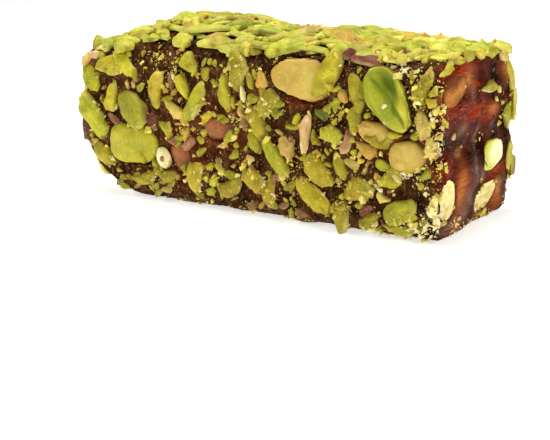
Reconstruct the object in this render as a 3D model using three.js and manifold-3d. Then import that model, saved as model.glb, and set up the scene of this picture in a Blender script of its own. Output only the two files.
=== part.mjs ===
// A bar of turkish delight: a soft, dark fruit jelly pressed into a long block, rolled in slivered
// pistachios and cut across with a knife at its right end, where whole kernels show in the cut.
// Millimetres, +Z up. X runs along the bar, the cut end is at +X, and the bar lies on z = 0.
import * as THREE from "three";
import { mergeVertices } from "three/addons/utils/BufferGeometryUtils.js";
import Module from "manifold-3d";

// The block that the nut-coated bar was pressed into.
const LENGTH = 92;
const DEPTH = 38.8;

// The jelly inside it. Slivers stand proud of it on every side but the cut end.
const JELLY_LEFT = -45.2;
const JELLY_RIGHT = 45.7;
const JELLY_HALF_DEPTH = 17.6;
const JELLY_FLOOR = 0.8;
const JELLY_TOP = 34.8;
const ROUNDING = { left: 4.5, right: 3, front: 3.2, back: 5.5, blend: 8 };
const SHARPNESS = { left: 2.6, right: 6 };
const CROWN = { height: 2.8, rightFall: 1.6, rightFrom: 11, leftFall: 1.8, leftFrom: -25 };
const LEFT_EDGE_FALL = 1.6;
const HUMP = { height: 1.7, x: -22, y: 2, spread: 15 };
const SIDE_BULGE = 0.3;
const BACK_SPREAD = 1.4;
const UNDERCUT = { depth: 14, height: 13.5, reach: 34, power: 2.2 };
const WAVES = [
  { x: 0.19, z: 0.13, start: 0 },
  { x: 0.11, z: -0.29, start: 2 },
];
const WAVE_HEIGHT = { side: 0.35, top: 0.2 };
const RIDGES = { y: 0.23, z: 0.42, bend: 0.9, start: 0.6, height: 0.27 };
const ROLLS = { y: 0.31, z: -0.17, start: 1.1, height: 0.18 };
const CUT_REACH = 4;
const STEPS = { along: 15, across: 8, up: 8 };
const EVENNESS = 0.45;
const FRAME_REACH = 0.6;

// Pistachio kernels and slivers.
const KERNEL_GAP = 0.3;
const KERNEL_INSET = 0.1;
const KERNEL_RINGS = 6;
const KERNEL_SIDES = 10;
const KERNEL_TAPER = 0.16;
const INNER_DOME = 0.3;
const GROOVE = { depth: 0.5, width: 0.22 };
const POCKET_SPARE = 1;
const SLIVER_CORNERS = 6;
const SLIVER_SINK = 0.45;
const SLIVER_ROOT = 0.5;
const SLIVER_LEVEL = 0.6;
const SLIVER_MARGIN = 1.6;
const CHAMFER = 0.8;
const CORNER_REACH = { least: 0.86, more: 0.26 };
const SEED = 20418;

const COLOURS = {
  jelly: { color: 0x3a2426, roughness: 0.55, metalness: 0 },
  kernel: { color: 0xb9a64a, roughness: 0.6, metalness: 0 },
};

// Whole and half kernels large enough to be pieces of their own. "at" is along and up on the front
// and back, along and across on the top and underside, across and up on the ends. turn is the long
// axis from the first of those directions, in degrees. lift is the middle's height over the jelly.
const KERNELS = [
  { name: "kernel_front_half_left", face: "front", at: [-29.6, 13], size: [14.6, 9, 5], turn: -2, lift: -0.6 },
  { name: "kernel_front_amber_low", face: "front", at: [-16.2, 11.4], size: [9, 6.5, 6], turn: -75, lift: -2.2 },
  { name: "kernel_front_amber_mid", face: "front", at: [-5.8, 18.8], size: [10, 6.5, 6], turn: 10, lift: -2.1 },
  { name: "kernel_front_tan_large", face: "front", at: [14.6, 30.5], size: [15.4, 9.6, 6], turn: -10, lift: -1.5 },
  { name: "kernel_front_green_half", face: "front", at: [34.6, 28.4], size: [14.6, 8.8, 4.2], turn: -48, lift: 0.1, inner: true },
  { name: "kernel_front_tan_slim", face: "front", at: [32, 21.4], size: [8.6, 5, 4.5], turn: -12, lift: -1.3 },
  { name: "kernel_front_tan_round", face: "front", at: [38.8, 17.6], size: [8.6, 6.6, 5.2], turn: 8, lift: -1.3 },
  { name: "kernel_cut_amber", face: "right", at: [-11.4, 29.6], size: [12.4, 7, 5.6], turn: 12, lift: -1.7 },
  { name: "kernel_cut_pale", face: "right", at: [8.2, 13.8], size: [12.4, 7.4, 12], turn: 0, lift: -2.6 },
  { name: "kernel_cut_corner", face: "right", at: [-13.4, 8.8], size: [9.6, 8.8, 4.8], turn: 78, lift: -0.9 },
  { name: "kernel_cut_long", face: "right", at: [4.2, 5.7], size: [14.4, 5.8, 7], turn: 13, lift: -1.4 },
  { name: "kernel_top_half", face: "top", at: [-26, 7.5], size: [12, 6.6, 3.6], turn: 8, lift: 0.2 },
  { name: "kernel_back_half", face: "back", at: [-11, 21.2], size: [14, 8.2, 4.4], turn: 35, lift: 0.1, inner: true },
  { name: "kernel_back_round", face: "back", at: [23, 13.2], size: [9, 7.4, 6], turn: -20, lift: -1.6 },
  { name: "kernel_left_half", face: "left", at: [3, 22.2], size: [13, 7.6, 4.4], turn: 62, lift: 0 },
];

// The slivers that set the look of the front: along, up, length, width and turn in degrees.
const FRONT_SLIVERS = [
  [-36.4, 30.8, 8, 4.8, 0],
  [-31.4, 31, 8.6, 3.6, -45],
  [-35.4, 23.8, 7, 3.4, 72],
  [-41.4, 19.4, 12, 6, -63],
  [-42, 27.6, 6.6, 4.2, -62],
  [-29.4, 21.4, 10, 7, -44],
  [-39.8, 10, 7.4, 4.4, -52],
  [-30.2, 5.6, 7.6, 3.6, 4],
  [-22.6, 25.6, 9, 3.6, 84],
  [-14.8, 26.6, 6.6, 2.8, -60],
  [-13.6, 32.2, 4.6, 4.4, -86],
  [-12.4, 23, 12, 3.4, 55],
  [-17.6, 21.6, 6.4, 3, -30],
  [-4.2, 26.2, 9, 4, -77],
  [-20.4, 6.8, 5, 3, 26],
  [-12.8, 7.2, 7.6, 4, 88],
  [4, 21.4, 8.2, 4.2, -50],
  [3.6, 17, 5.2, 2.8, -66],
  [8.4, 14.4, 9.6, 3.6, -51],
  [2.8, 8.6, 6.4, 5, -60],
  [11.6, 16.8, 5.2, 4.2, -50],
  [16, 20.2, 8.6, 2.2, 88],
  [21.2, 31.6, 9.8, 3.8, 60],
  [27.2, 29.8, 6.4, 3.6, -74],
  [21.8, 20.6, 5.4, 3.8, -8],
  [27.2, 23.8, 5.4, 3.2, -72],
  [18.9, 12.4, 8.2, 4.6, -45],
  [17.4, 7, 10.6, 4.6, -40],
  [27.8, 10.1, 8, 5.2, 24],
  [23.8, 14.2, 6.4, 3, -76],
  [35.2, 12.6, 6.2, 4, 45],
  [37.2, 6.4, 8.2, 4.8, 28],
  [30.8, 3.6, 5.6, 3.2, 34],
  [42.3, 24.4, 6, 3.6, -72],
  [44, 19.8, 4.4, 2.8, -56],
];

// How many slivers each side gets besides those, largest first, and how close they lie: a share of
// the distance at which two of them would just touch.
const SLIVER_SIZES = [
  { length: [10, 13], width: [5, 6.8] },
  { length: [7.5, 10], width: [3.6, 5.2] },
  { length: [5.5, 7.5], width: [2.8, 4.2] },
];
const SCATTER = [
  { face: "front", counts: [0, 1, 5], closeness: 0.78 },
  { face: "top", counts: [23, 24, 8], closeness: 0.78 },
  { face: "back", counts: [5, 15, 10], closeness: 0.9 },
  { face: "bottom", counts: [4, 8, 4], closeness: 0.9, margin: 5.5 },
  { face: "left", counts: [3, 4, 4], closeness: 0.8 },
];
const TRIES = 60;
const THICKNESS = [1.5, 2.3];
const TILT = 8;

// The flake in the middle of the underside, and how far the slivers under the bar are pushed out
// so that the board under the press flattens them.
const REST_SLIVER = [0, 0, 13, 7.4, 24];
const REST_PUSH = 0.8;

const clamp = THREE.MathUtils.clamp;
const step = (low, high, x) => THREE.MathUtils.smoothstep(x, low, high);

// A plain repeatable random number from 0 to 1.
function randomFrom(seed) {
  let state = seed >>> 0;
  return () => {
    state = (Math.imul(state, 1664525) + 1013904223) >>> 0;
    return state / 4294967296;
  };
}

// Rounds the jelly's square block: the long edges, the left end softly, the cut end hardly.
function rounded(q) {
  const right = q.x > 0;
  const along = right ? ROUNDING.right : ROUNDING.left;
  const power = right ? SHARPNESS.right : SHARPNESS.left;
  const back = step(-ROUNDING.blend, ROUNDING.blend, q.y);
  const side = ROUNDING.front + (ROUNDING.back - ROUNDING.front) * back;
  const cx = clamp(q.x, JELLY_LEFT + along, JELLY_RIGHT - along);
  const cy = clamp(q.y, -JELLY_HALF_DEPTH + side, JELLY_HALF_DEPTH - side);
  const cz = clamp(q.z, JELLY_FLOOR + side, JELLY_TOP - side);
  const dx = (q.x - cx) / along;
  const dy = (q.y - cy) / side;
  const dz = (q.z - cz) / side;
  const level = Math.max(Math.abs(dy), Math.abs(dz));
  const flat = level > 0 ? level / Math.hypot(dy, dz) : 1;
  const most = Math.max(level, Math.abs(dx));
  const whole = most > 0 ? most / (level ** power + Math.abs(dx) ** power) ** (1 / power) : 1;
  return new THREE.Vector3(
    cx + dx * whole * along,
    cy + dy * flat * whole * side,
    cz + dz * flat * whole * side,
  );
}

// The jelly's top over a point of the floor: crowned across, flatter at both ends, with a hump.
function topHeight(x, y) {
  const across = y / JELLY_HALF_DEPTH;
  const left = 1 - step(JELLY_LEFT, CROWN.leftFrom, x);
  const crown = CROWN.height - CROWN.rightFall * step(CROWN.rightFrom, JELLY_RIGHT, x) - CROWN.leftFall * left;
  const hump = ((x - HUMP.x) / HUMP.spread) ** 2 + ((y - HUMP.y) / HUMP.spread) ** 2;
  const edge = JELLY_TOP - LEFT_EDGE_FALL * left;
  return edge + crown * (1 - across * across) + HUMP.height * Math.exp(-hump);
}

// The knife drags the jelly into soft ridges on the cut end.
function cutRelief(y, z) {
  const ridge = Math.sin(RIDGES.z * z + RIDGES.bend * Math.sin(RIDGES.y * y + RIDGES.start));
  const roll = Math.sin(ROLLS.y * y + ROLLS.z * z + ROLLS.start);
  return RIDGES.height * (1 + ridge) + ROLLS.height * (1 + roll);
}

// A point of the square block's surface, moved to the jelly's real surface.
function jellyPoint(q) {
  const p = rounded(q);
  const up = clamp((p.z - JELLY_FLOOR) / (JELLY_TOP - JELLY_FLOOR), 0, 1);
  const nearCut = step(JELLY_RIGHT - CUT_REACH, JELLY_RIGHT, p.x);
  const low = clamp(1 - (up * (JELLY_TOP - JELLY_FLOOR)) / UNDERCUT.height, 0, 1);
  const nearLeft = 1 - step(JELLY_LEFT, JELLY_LEFT + UNDERCUT.reach, p.x);
  const x = p.x + UNDERCUT.depth * low ** UNDERCUT.power * nearLeft - nearCut * cutRelief(p.y, p.z);
  const z = JELLY_FLOOR + up * (topHeight(p.x, p.y) - JELLY_FLOOR);
  const bulge = SIDE_BULGE * Math.sin(Math.PI * up) * (p.y / JELLY_HALF_DEPTH);
  const spread = BACK_SPREAD * (1 - up) * Math.max(0, p.y / JELLY_HALF_DEPTH);
  const wave = WAVES.reduce((sum, w) => sum + Math.sin(w.x * p.x + w.z * p.z + w.start), 0);
  return new THREE.Vector3(
    x,
    p.y + bulge + spread + WAVE_HEIGHT.side * wave * up * (Math.abs(p.y) / JELLY_HALF_DEPTH),
    z + WAVE_HEIGHT.top * wave * up * up,
  );
}

// Each side of the square block: a corner and the two directions that run over it.
const height = JELLY_TOP - JELLY_FLOOR;
const run = JELLY_RIGHT - JELLY_LEFT;
const across = 2 * JELLY_HALF_DEPTH;
const FACES = {
  front: { corner: [JELLY_LEFT, -JELLY_HALF_DEPTH, JELLY_FLOOR], u: [1, 0, 0], v: [0, 0, 1], size: [run, height] },
  back: { corner: [JELLY_LEFT, JELLY_HALF_DEPTH, JELLY_FLOOR], u: [1, 0, 0], v: [0, 0, 1], size: [run, height] },
  top: { corner: [JELLY_LEFT, -JELLY_HALF_DEPTH, JELLY_TOP], u: [1, 0, 0], v: [0, 1, 0], size: [run, across] },
  bottom: { corner: [JELLY_LEFT, -JELLY_HALF_DEPTH, JELLY_FLOOR], u: [1, 0, 0], v: [0, 1, 0], size: [run, across] },
  left: { corner: [JELLY_LEFT, -JELLY_HALF_DEPTH, JELLY_FLOOR], u: [0, 1, 0], v: [0, 0, 1], size: [across, height] },
  right: { corner: [JELLY_RIGHT, -JELLY_HALF_DEPTH, JELLY_FLOOR], u: [0, 1, 0], v: [0, 0, 1], size: [across, height] },
};
const OUTWARD = {
  front: [0, -1, 0],
  back: [0, 1, 0],
  top: [0, 0, 1],
  bottom: [0, 0, -1],
  left: [-1, 0, 0],
  right: [1, 0, 0],
};

function onBlock(face, u, v) {
  const { corner, u: along, v: up } = FACES[face];
  return new THREE.Vector3(...corner)
    .addScaledVector(new THREE.Vector3(...along), u)
    .addScaledVector(new THREE.Vector3(...up), v);
}

// Where a place on a side lies, and the directions along, across and out of the surface there.
// level turns the last of them from the surface's own direction towards the side's.
function frameAt(face, u, v, turn, level = 0) {
  const [wide, tall] = FACES[face].size;
  const [u0, u1] = [clamp(u - FRAME_REACH, 0, wide), clamp(u + FRAME_REACH, 0, wide)];
  const [v0, v1] = [clamp(v - FRAME_REACH, 0, tall), clamp(v + FRAME_REACH, 0, tall)];
  const at = jellyPoint(onBlock(face, clamp(u, 0, wide), clamp(v, 0, tall)));
  const alongU = jellyPoint(onBlock(face, u1, clamp(v, 0, tall))).sub(jellyPoint(onBlock(face, u0, clamp(v, 0, tall))));
  const alongV = jellyPoint(onBlock(face, clamp(u, 0, wide), v1)).sub(jellyPoint(onBlock(face, clamp(u, 0, wide), v0)));
  const out = new THREE.Vector3().crossVectors(alongU, alongV).normalize();
  const away = new THREE.Vector3(...OUTWARD[face]);
  if (out.dot(away) < 0) out.negate();
  out.lerp(away, level).normalize();
  const first = alongU.addScaledVector(out, -alongU.dot(out)).normalize();
  const second = alongV.addScaledVector(out, -alongV.dot(out)).normalize();
  const angle = THREE.MathUtils.degToRad(turn);
  const long = first.clone().multiplyScalar(Math.cos(angle)).addScaledVector(second, Math.sin(angle)).normalize();
  return { at, long, out, side: new THREE.Vector3().crossVectors(out, long).normalize() };
}

// A place given from the bar's middle and its floor, as a distance from the side's corner.
function placeOn(face, [first, second]) {
  const { corner, u, v } = FACES[face];
  return [first - (u[0] ? corner[0] : corner[1]), second - (v[1] ? corner[1] : corner[2])];
}

const wasm = await Module();
wasm.setup();

function solidOf(geometry) {
  const plain = geometry.clone();
  plain.deleteAttribute("normal");
  plain.deleteAttribute("uv");
  const merged = mergeVertices(plain, 1e-4);
  return new wasm.Manifold(
    new wasm.Mesh({
      numProp: 3,
      vertProperties: new Float32Array(merged.attributes.position.array),
      triVerts: new Uint32Array(merged.index.array),
    }),
  );
}

function geometryOf(solid) {
  const { vertProperties, triVerts } = solid.getMesh();
  const geometry = new THREE.BufferGeometry();
  geometry.setAttribute("position", new THREE.BufferAttribute(new Float32Array(vertProperties), 3));
  geometry.setIndex(new THREE.BufferAttribute(new Uint32Array(triVerts), 1));
  geometry.computeVertexNormals();
  return geometry;
}

// Moves every vertex of a closed shape by a rule.
function moved(geometry, rule) {
  const place = geometry.attributes.position;
  for (let i = 0; i < place.count; i += 1) {
    const p = rule(new THREE.Vector3().fromBufferAttribute(place, i));
    place.setXYZ(i, p.x, p.y, p.z);
  }
  return geometry;
}

// Draws evenly spaced steps from 0 to 1 towards both ends, where the surface turns.
function towardsEnds(share) {
  return EVENNESS * share + (1 - EVENNESS) * (0.5 - 0.5 * Math.cos(Math.PI * share));
}

function jelly() {
  const block = new THREE.BoxGeometry(1, 1, 1, STEPS.along, STEPS.across, STEPS.up);
  const placed = moved(block, (p) => {
    const q = new THREE.Vector3(
      JELLY_LEFT + run * towardsEnds(p.x + 0.5),
      -JELLY_HALF_DEPTH + across * towardsEnds(p.y + 0.5),
      JELLY_FLOOR + height * towardsEnds(p.z + 0.5),
    );
    return jellyPoint(q);
  });
  return solidOf(placed);
}

// Nothing stands outside the press, and what the knife crosses ends at the cut.
function pressed(p) {
  p.x = clamp(p.x, -LENGTH / 2, LENGTH / 2);
  p.y = clamp(p.y, -DEPTH / 2, DEPTH / 2);
  p.z = Math.max(p.z, 0);
  return p;
}

// A kernel is an egg, a little pointed at one end. Turned inner side out, a half shows its flat
// face with a groove along it. grow swells it, for the pocket that it sits in.
function kernel({ face, at, size, turn, lift, inner }, grow) {
  const [u, v] = placeOn(face, at);
  const { at: middle, long, side, out } = frameAt(face, u, v, turn);
  const [length, width, thick] = size;
  const egg = new THREE.SphereGeometry(1, KERNEL_SIDES, KERNEL_RINGS).rotateZ(Math.PI / 2);
  const placed = moved(egg, (p) => {
    const taper = 1 - KERNEL_TAPER * p.x;
    const along = p.x * (length / 2 + grow);
    const sideways = p.y * taper * (width / 2 + grow);
    let outward = p.z * taper * (inner ? thick + grow : thick / 2 + grow);
    if (inner && outward > 0) {
      const dip = GROOVE.depth * Math.exp(-((sideways / (GROOVE.width * width)) ** 2)) * (1 - p.x * p.x);
      outward = thick * INNER_DOME * (1 - (p.x * p.x + p.y * p.y)) - dip + grow;
    }
    const q = middle
      .clone()
      .addScaledVector(long, along)
      .addScaledVector(side, sideways)
      .addScaledVector(out, outward + lift);
    const spare = grow ? POCKET_SPARE : -KERNEL_INSET;
    q.x = clamp(q.x, -LENGTH / 2 - spare, LENGTH / 2 + spare);
    q.y = clamp(q.y, -DEPTH / 2 - spare, DEPTH / 2 + spare);
    return q;
  });
  return solidOf(placed);
}

// A sliver is a flat chip with a few uneven corners, chamfered above and rooted in the jelly.
function sliver({ face, u, v, length, width, turn, thick, pitch, roll, corners }) {
  const { at, long, side, out } = frameAt(face, u, v, turn, SLIVER_LEVEL);
  const count = SLIVER_CORNERS;
  const rise = thick * (1 - SLIVER_SINK) + (face === "bottom" ? REST_PUSH : 0);
  const points = [];
  for (const [level, share] of [[rise, CHAMFER], [-thick * SLIVER_SINK - SLIVER_ROOT, 1]]) {
    for (let i = 0; i < count; i += 1) {
      const angle = (2 * Math.PI * (i + 0.5)) / count;
      const reach = corners[i] * share;
      const along = (length / 2) * Math.cos(angle) * reach;
      const sideways = (width / 2) * Math.sin(angle) * reach;
      const outward = level + along * pitch + sideways * roll;
      const p = at.clone().addScaledVector(long, along).addScaledVector(side, sideways);
      points.push(pressed(p.addScaledVector(out, outward)));
    }
  }
  const faces = [];
  for (let i = 0; i < count; i += 1) {
    const next = (i + 1) % count;
    faces.push(i, count + i, count + next, i, count + next, next);
  }
  for (let i = 1; i < count - 1; i += 1) {
    faces.push(0, i, i + 1);
    faces.push(count, count + i + 1, count + i);
  }
  const geometry = new THREE.BufferGeometry().setFromPoints(points);
  geometry.setIndex(faces);
  return solidOf(geometry);
}

// The chance part of a sliver, drawn in a fixed order.
function drawn(random, base) {
  const corners = [];
  const thick = THICKNESS[0] + (THICKNESS[1] - THICKNESS[0]) * random();
  const lean = Math.tan(THREE.MathUtils.degToRad(TILT));
  const pitch = lean * (2 * random() - 1);
  const roll = lean * (2 * random() - 1);
  for (let i = 0; i < SLIVER_CORNERS; i += 1) {
    corners.push(CORNER_REACH.least + CORNER_REACH.more * random());
  }
  return { ...base, thick, pitch, roll, corners };
}

// A sliver whose place was chosen: where it lies on a side, its length, width and turn.
function chosen(random, face, [first, second, length, width, turn]) {
  const [u, v] = placeOn(face, [first, second]);
  return drawn(random, { face, u, v, length, width, turn });
}

// Scatters slivers over the sides, largest first, none closer to another than the side allows.
function slivers() {
  const random = randomFrom(SEED);
  const list = FRONT_SLIVERS.map((row) => chosen(random, "front", row));
  list.push(chosen(random, "bottom", REST_SLIVER));
  const kernels = KERNELS.map(({ face, at, size }) => {
    const [u, v] = placeOn(face, at);
    return { face, u, v, length: size[0], width: size[1] };
  });
  for (const { face, counts, closeness, margin = SLIVER_MARGIN } of SCATTER) {
    const [wide, tall] = FACES[face].size;
    SLIVER_SIZES.forEach((size, band) => {
      let left = counts[band];
      for (let go = 0; go < TRIES * counts[band] && left > 0; go += 1) {
        const u = margin + (wide - 2 * margin) * random();
        const v = margin + (tall - 2 * margin) * random();
        const length = size.length[0] + (size.length[1] - size.length[0]) * random();
        const width = size.width[0] + (size.width[1] - size.width[0]) * random();
        const turn = 180 * random();
        const reach = Math.sqrt(length * width) / 2;
        const free = [...list, ...kernels].every((other) => {
          if (other.face !== face) return true;
          const apart = Math.hypot(other.u - u, other.v - v);
          return apart > closeness * (reach + Math.sqrt(other.length * other.width) / 2);
        });
        if (!free) continue;
        list.push(drawn(random, { face, u, v, length, width, turn }));
        left -= 1;
      }
    });
  }
  return list;
}

// The largest piece of a cut, without loose scraps.
function largest(solid) {
  return solid.decompose().reduce((best, piece) => (piece.volume() > best.volume() ? piece : best));
}

function build() {
  const bar = new THREE.Group();
  const pockets = KERNELS.map((row) => kernel(row, KERNEL_GAP));
  const coated = wasm.Manifold.union([jelly(), ...slivers().map(sliver)]);
  const body = largest(coated.subtract(wasm.Manifold.union(pockets)));
  const jellyMesh = new THREE.Mesh(geometryOf(body), new THREE.MeshStandardMaterial(COLOURS.jelly));
  jellyMesh.name = "coated_jelly";
  bar.add(jellyMesh);
  for (const row of KERNELS) {
    const mesh = new THREE.Mesh(
      geometryOf(kernel(row, 0)),
      new THREE.MeshStandardMaterial(COLOURS.kernel),
    );
    mesh.name = row.name;
    bar.add(mesh);
  }
  return bar;
}

export default build();
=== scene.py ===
"""A bar of turkish delight: dark fruit jelly rolled in slivered pistachios, cut across at one end."""
import math
from collections import namedtuple

import bmesh
import bpy
import numpy as np
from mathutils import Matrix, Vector, noise


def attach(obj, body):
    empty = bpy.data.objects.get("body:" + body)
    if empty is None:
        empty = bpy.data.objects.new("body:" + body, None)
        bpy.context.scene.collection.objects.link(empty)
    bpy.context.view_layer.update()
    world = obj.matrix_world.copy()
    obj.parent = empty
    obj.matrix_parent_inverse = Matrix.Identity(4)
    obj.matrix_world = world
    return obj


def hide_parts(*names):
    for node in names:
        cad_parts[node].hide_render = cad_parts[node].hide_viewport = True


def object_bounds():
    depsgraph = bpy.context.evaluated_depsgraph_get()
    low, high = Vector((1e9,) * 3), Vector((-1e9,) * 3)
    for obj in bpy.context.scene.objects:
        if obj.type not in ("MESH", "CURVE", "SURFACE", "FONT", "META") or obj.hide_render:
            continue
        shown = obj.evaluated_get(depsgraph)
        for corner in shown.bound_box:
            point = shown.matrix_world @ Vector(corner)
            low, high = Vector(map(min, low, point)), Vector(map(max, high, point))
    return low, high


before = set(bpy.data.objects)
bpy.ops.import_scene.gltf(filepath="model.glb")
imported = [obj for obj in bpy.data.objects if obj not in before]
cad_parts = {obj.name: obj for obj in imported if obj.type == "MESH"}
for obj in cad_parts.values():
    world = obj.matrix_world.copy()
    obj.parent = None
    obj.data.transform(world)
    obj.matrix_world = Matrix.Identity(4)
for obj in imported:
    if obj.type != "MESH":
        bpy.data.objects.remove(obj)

MM = 0.001
TINY = 1e-9
CAD_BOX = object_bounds()
LENGTH = (CAD_BOX[1].x - CAD_BOX[0].x) / MM
DEPTH = (CAD_BOX[1].y - CAD_BOX[0].y) / MM

# ---- Sizes, in millimetres, shared with the solids

JELLY_LEFT = -45.2
JELLY_RIGHT = 45.7
JELLY_HALF_DEPTH = 17.6
JELLY_FLOOR = 0.8
JELLY_TOP = 34.8
RUN = JELLY_RIGHT - JELLY_LEFT
ACROSS = 2 * JELLY_HALF_DEPTH
HEIGHT = JELLY_TOP - JELLY_FLOOR
ROUNDING = {"left": 4.5, "right": 3, "front": 3.2, "back": 5.5, "blend": 8}
SHARPNESS = {"left": 2.6, "right": 6}
CROWN = {"height": 2.8, "right fall": 1.6, "right from": 11, "left fall": 1.8, "left from": -25}
LEFT_EDGE_FALL = 1.6
HUMP = {"height": 1.7, "x": -22, "y": 2, "spread": 15}
SIDE_BULGE = 0.3
BACK_SPREAD = 1.4
UNDERCUT = {"depth": 14, "height": 13.5, "reach": 34, "power": 2.2}
WAVES = [{"x": 0.19, "z": 0.13, "start": 0}, {"x": 0.11, "z": -0.29, "start": 2}]
WAVE_HEIGHT = {"side": 0.35, "top": 0.2}
RIDGES = {"y": 0.23, "z": 0.42, "bend": 0.9, "start": 0.6, "height": 0.27}
ROLLS = {"y": 0.31, "z": -0.17, "start": 1.1, "height": 0.18}
CUT_REACH = 4                # how far behind the cut end the ridges and rolls reach
FRAME_REACH = 0.6            # how far round a place the surface is felt for its slope

KERNEL_GAP = 0.3             # between a kernel and its pocket
KERNEL_TAPER = 0.16
INNER_DOME = 0.3             # height of an opened face, to the kernel's thickness
SLIVER_CORNERS = 6
SLIVER_SINK = 0.45           # share of its thickness that a sliver is pressed in
SLIVER_LEVEL = 0.6           # how far slivers keep level with their side, not with its slope
REST_SLIVER = ((0, 0), 13, 7.4, 24)      # the flake that the bar rests on
REST_PUSH = 0.8              # how far slivers stand out under the bar
SEED = 20418
TRIES = 60                   # for each scattered sliver
THICKNESS = (1.5, 2.3)
TILT = 8                     # degrees

# Kernels: node, side, place on it, length, width and thickness, turn, lift, whether its flat inner
# face is out, finish and the record's slot.
Kernel = namedtuple("Kernel", "node face place size turn lift inner finish slot")
KERNELS = [Kernel(*row) for row in (
    ("kernel_front_half_left", "front", (-29.6, 13), (14.6, 9, 5), -2, -0.6, False, "olive", "green"),
    ("kernel_front_amber_low", "front", (-16.2, 11.4), (9, 6.5, 6), -75, -2.2, False, "brown", "amber"),
    ("kernel_front_amber_mid", "front", (-5.8, 18.8), (10, 6.5, 6), 10, -2.1, False, "brown", "amber"),
    ("kernel_front_tan_large", "front", (14.6, 30.5), (15.4, 9.6, 6), -10, -1.5, False, "tan", "tan"),
    ("kernel_front_green_half", "front", (34.6, 28.4), (14.6, 8.8, 4.2), -48, 0.1, True, "green", "green"),
    ("kernel_front_tan_slim", "front", (32, 21.4), (8.6, 5, 4.5), -12, -1.3, False, "tan", "tan"),
    ("kernel_front_tan_round", "front", (38.8, 17.6), (8.6, 6.6, 5.2), 8, -1.3, False, "tan", "tan"),
    ("kernel_cut_amber", "right", (-11.4, 29.6), (12.4, 7, 5.6), 12, -1.7, False, "amber", "amber"),
    ("kernel_cut_pale", "right", (8.2, 13.8), (12.4, 7.4, 12), 0, -2.6, False, "pale", "cut"),
    ("kernel_cut_corner", "right", (-13.4, 8.8), (9.6, 8.8, 4.8), 78, -0.9, False, "cream", "cut"),
    ("kernel_cut_long", "right", (4.2, 5.7), (14.4, 5.8, 7), 13, -1.4, False, "cream", "cut"),
    ("kernel_top_half", "top", (-26, 7.5), (12, 6.6, 3.6), 8, 0.2, False, "olive", "green"),
    ("kernel_back_half", "back", (-11, 21.2), (14, 8.2, 4.4), 35, 0.1, True, "green", "green"),
    ("kernel_back_round", "back", (23, 13.2), (9, 7.4, 6), -20, -1.6, False, "tan", "tan"),
    ("kernel_left_half", "left", (3, 22.2), (13, 7.6, 4.4), 62, 0, False, "olive", "green"),
)]

# The slivers that set the look of the front: along, up, length, width and turn in degrees, as in
# the solids, with their shape and colour.
FRONT_SLIVERS = [
    (-36.4, 30.8, 8, 4.8, 0, "oval", "lime"), (-31.4, 31, 8.6, 3.6, -45, "blade", "yellow"),
    (-35.4, 23.8, 7, 3.4, 72, "wedge", "yellow"), (-41.4, 19.4, 12, 6, -63, "wedge", "lime"),
    (-42, 27.6, 6.6, 4.2, -62, "oval", "lime"), (-29.4, 21.4, 10, 7, -44, "oval", "green"),
    (-39.8, 10, 7.4, 4.4, -52, "oval", "olive"), (-30.2, 5.6, 7.6, 3.6, 4, "broken", "olive"),
    (-22.6, 25.6, 9, 3.6, 84, "crescent", "yellow"), (-14.8, 26.6, 6.6, 2.8, -60, "blade", "yellow"),
    (-13.6, 32.2, 4.6, 4.4, -86, "wedge", "lime"), (-12.4, 23, 12, 3.4, 55, "crescent", "lime"),
    (-17.6, 21.6, 6.4, 3, -30, "broken", "cream"), (-4.2, 26.2, 9, 4, -77, "broken", "lime"),
    (-20.4, 6.8, 5, 3, 26, "oval", "olive"), (-12.8, 7.2, 7.6, 4, 88, "oval", "yellow"),
    (4, 21.4, 8.2, 4.2, -50, "nugget", "olive"), (3.6, 17, 5.2, 2.8, -66, "oval", "lime"),
    (8.4, 14.4, 9.6, 3.6, -51, "oval", "lime"), (2.8, 8.6, 6.4, 5, -60, "nugget", "olive"),
    (11.6, 16.8, 5.2, 4.2, -50, "broken", "beige"), (16, 20.2, 8.6, 2.2, 88, "blade", "bone"),
    (21.2, 31.6, 9.8, 3.8, 60, "oval", "lime"), (27.2, 29.8, 6.4, 3.6, -74, "oval", "olive"),
    (21.8, 20.6, 5.4, 3.8, -8, "nugget", "yellow"), (27.2, 23.8, 5.4, 3.2, -72, "broken", "olive"),
    (18.9, 12.4, 8.2, 4.6, -45, "oval", "olive"), (17.4, 7, 10.6, 4.6, -40, "oval", "lime"),
    (27.8, 10.1, 8, 5.2, 24, "nugget", "olive"), (23.8, 14.2, 6.4, 3, -76, "wedge", "olive"),
    (35.2, 12.6, 6.2, 4, 45, "broken", "lime"), (37.2, 6.4, 8.2, 4.8, 28, "oval", "lime"),
    (30.8, 3.6, 5.6, 3.2, 34, "wedge", "olive"), (42.3, 24.4, 6, 3.6, -72, "broken", "beige"),
    (44, 19.8, 4.4, 2.8, -56, "broken", "cream"),
]

# The sizes of the scattered slivers, as lengths and widths, and for each side how many of each size,
# how closely they may lie and how far they stay from its edges.
SLIVER_SIZES = [((10, 13), (5, 6.8)), ((7.5, 10), (3.6, 5.2)), ((5.5, 7.5), (2.8, 4.2))]
SCATTER = [
    ("front", (0, 1, 5), 0.78, 1.6),
    ("top", (23, 24, 8), 0.78, 1.6),
    ("back", (5, 15, 10), 0.9, 1.6),
    ("bottom", (4, 8, 4), 0.9, 5.5),
    ("left", (3, 4, 4), 0.8, 1.6),
]

# ---- Sizes of what only this script makes

JELLY_PITCH = 0.5            # between the jelly's vertices
VISUAL_ROOM = 0.5            # how far a nut may stand outside the press

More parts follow.
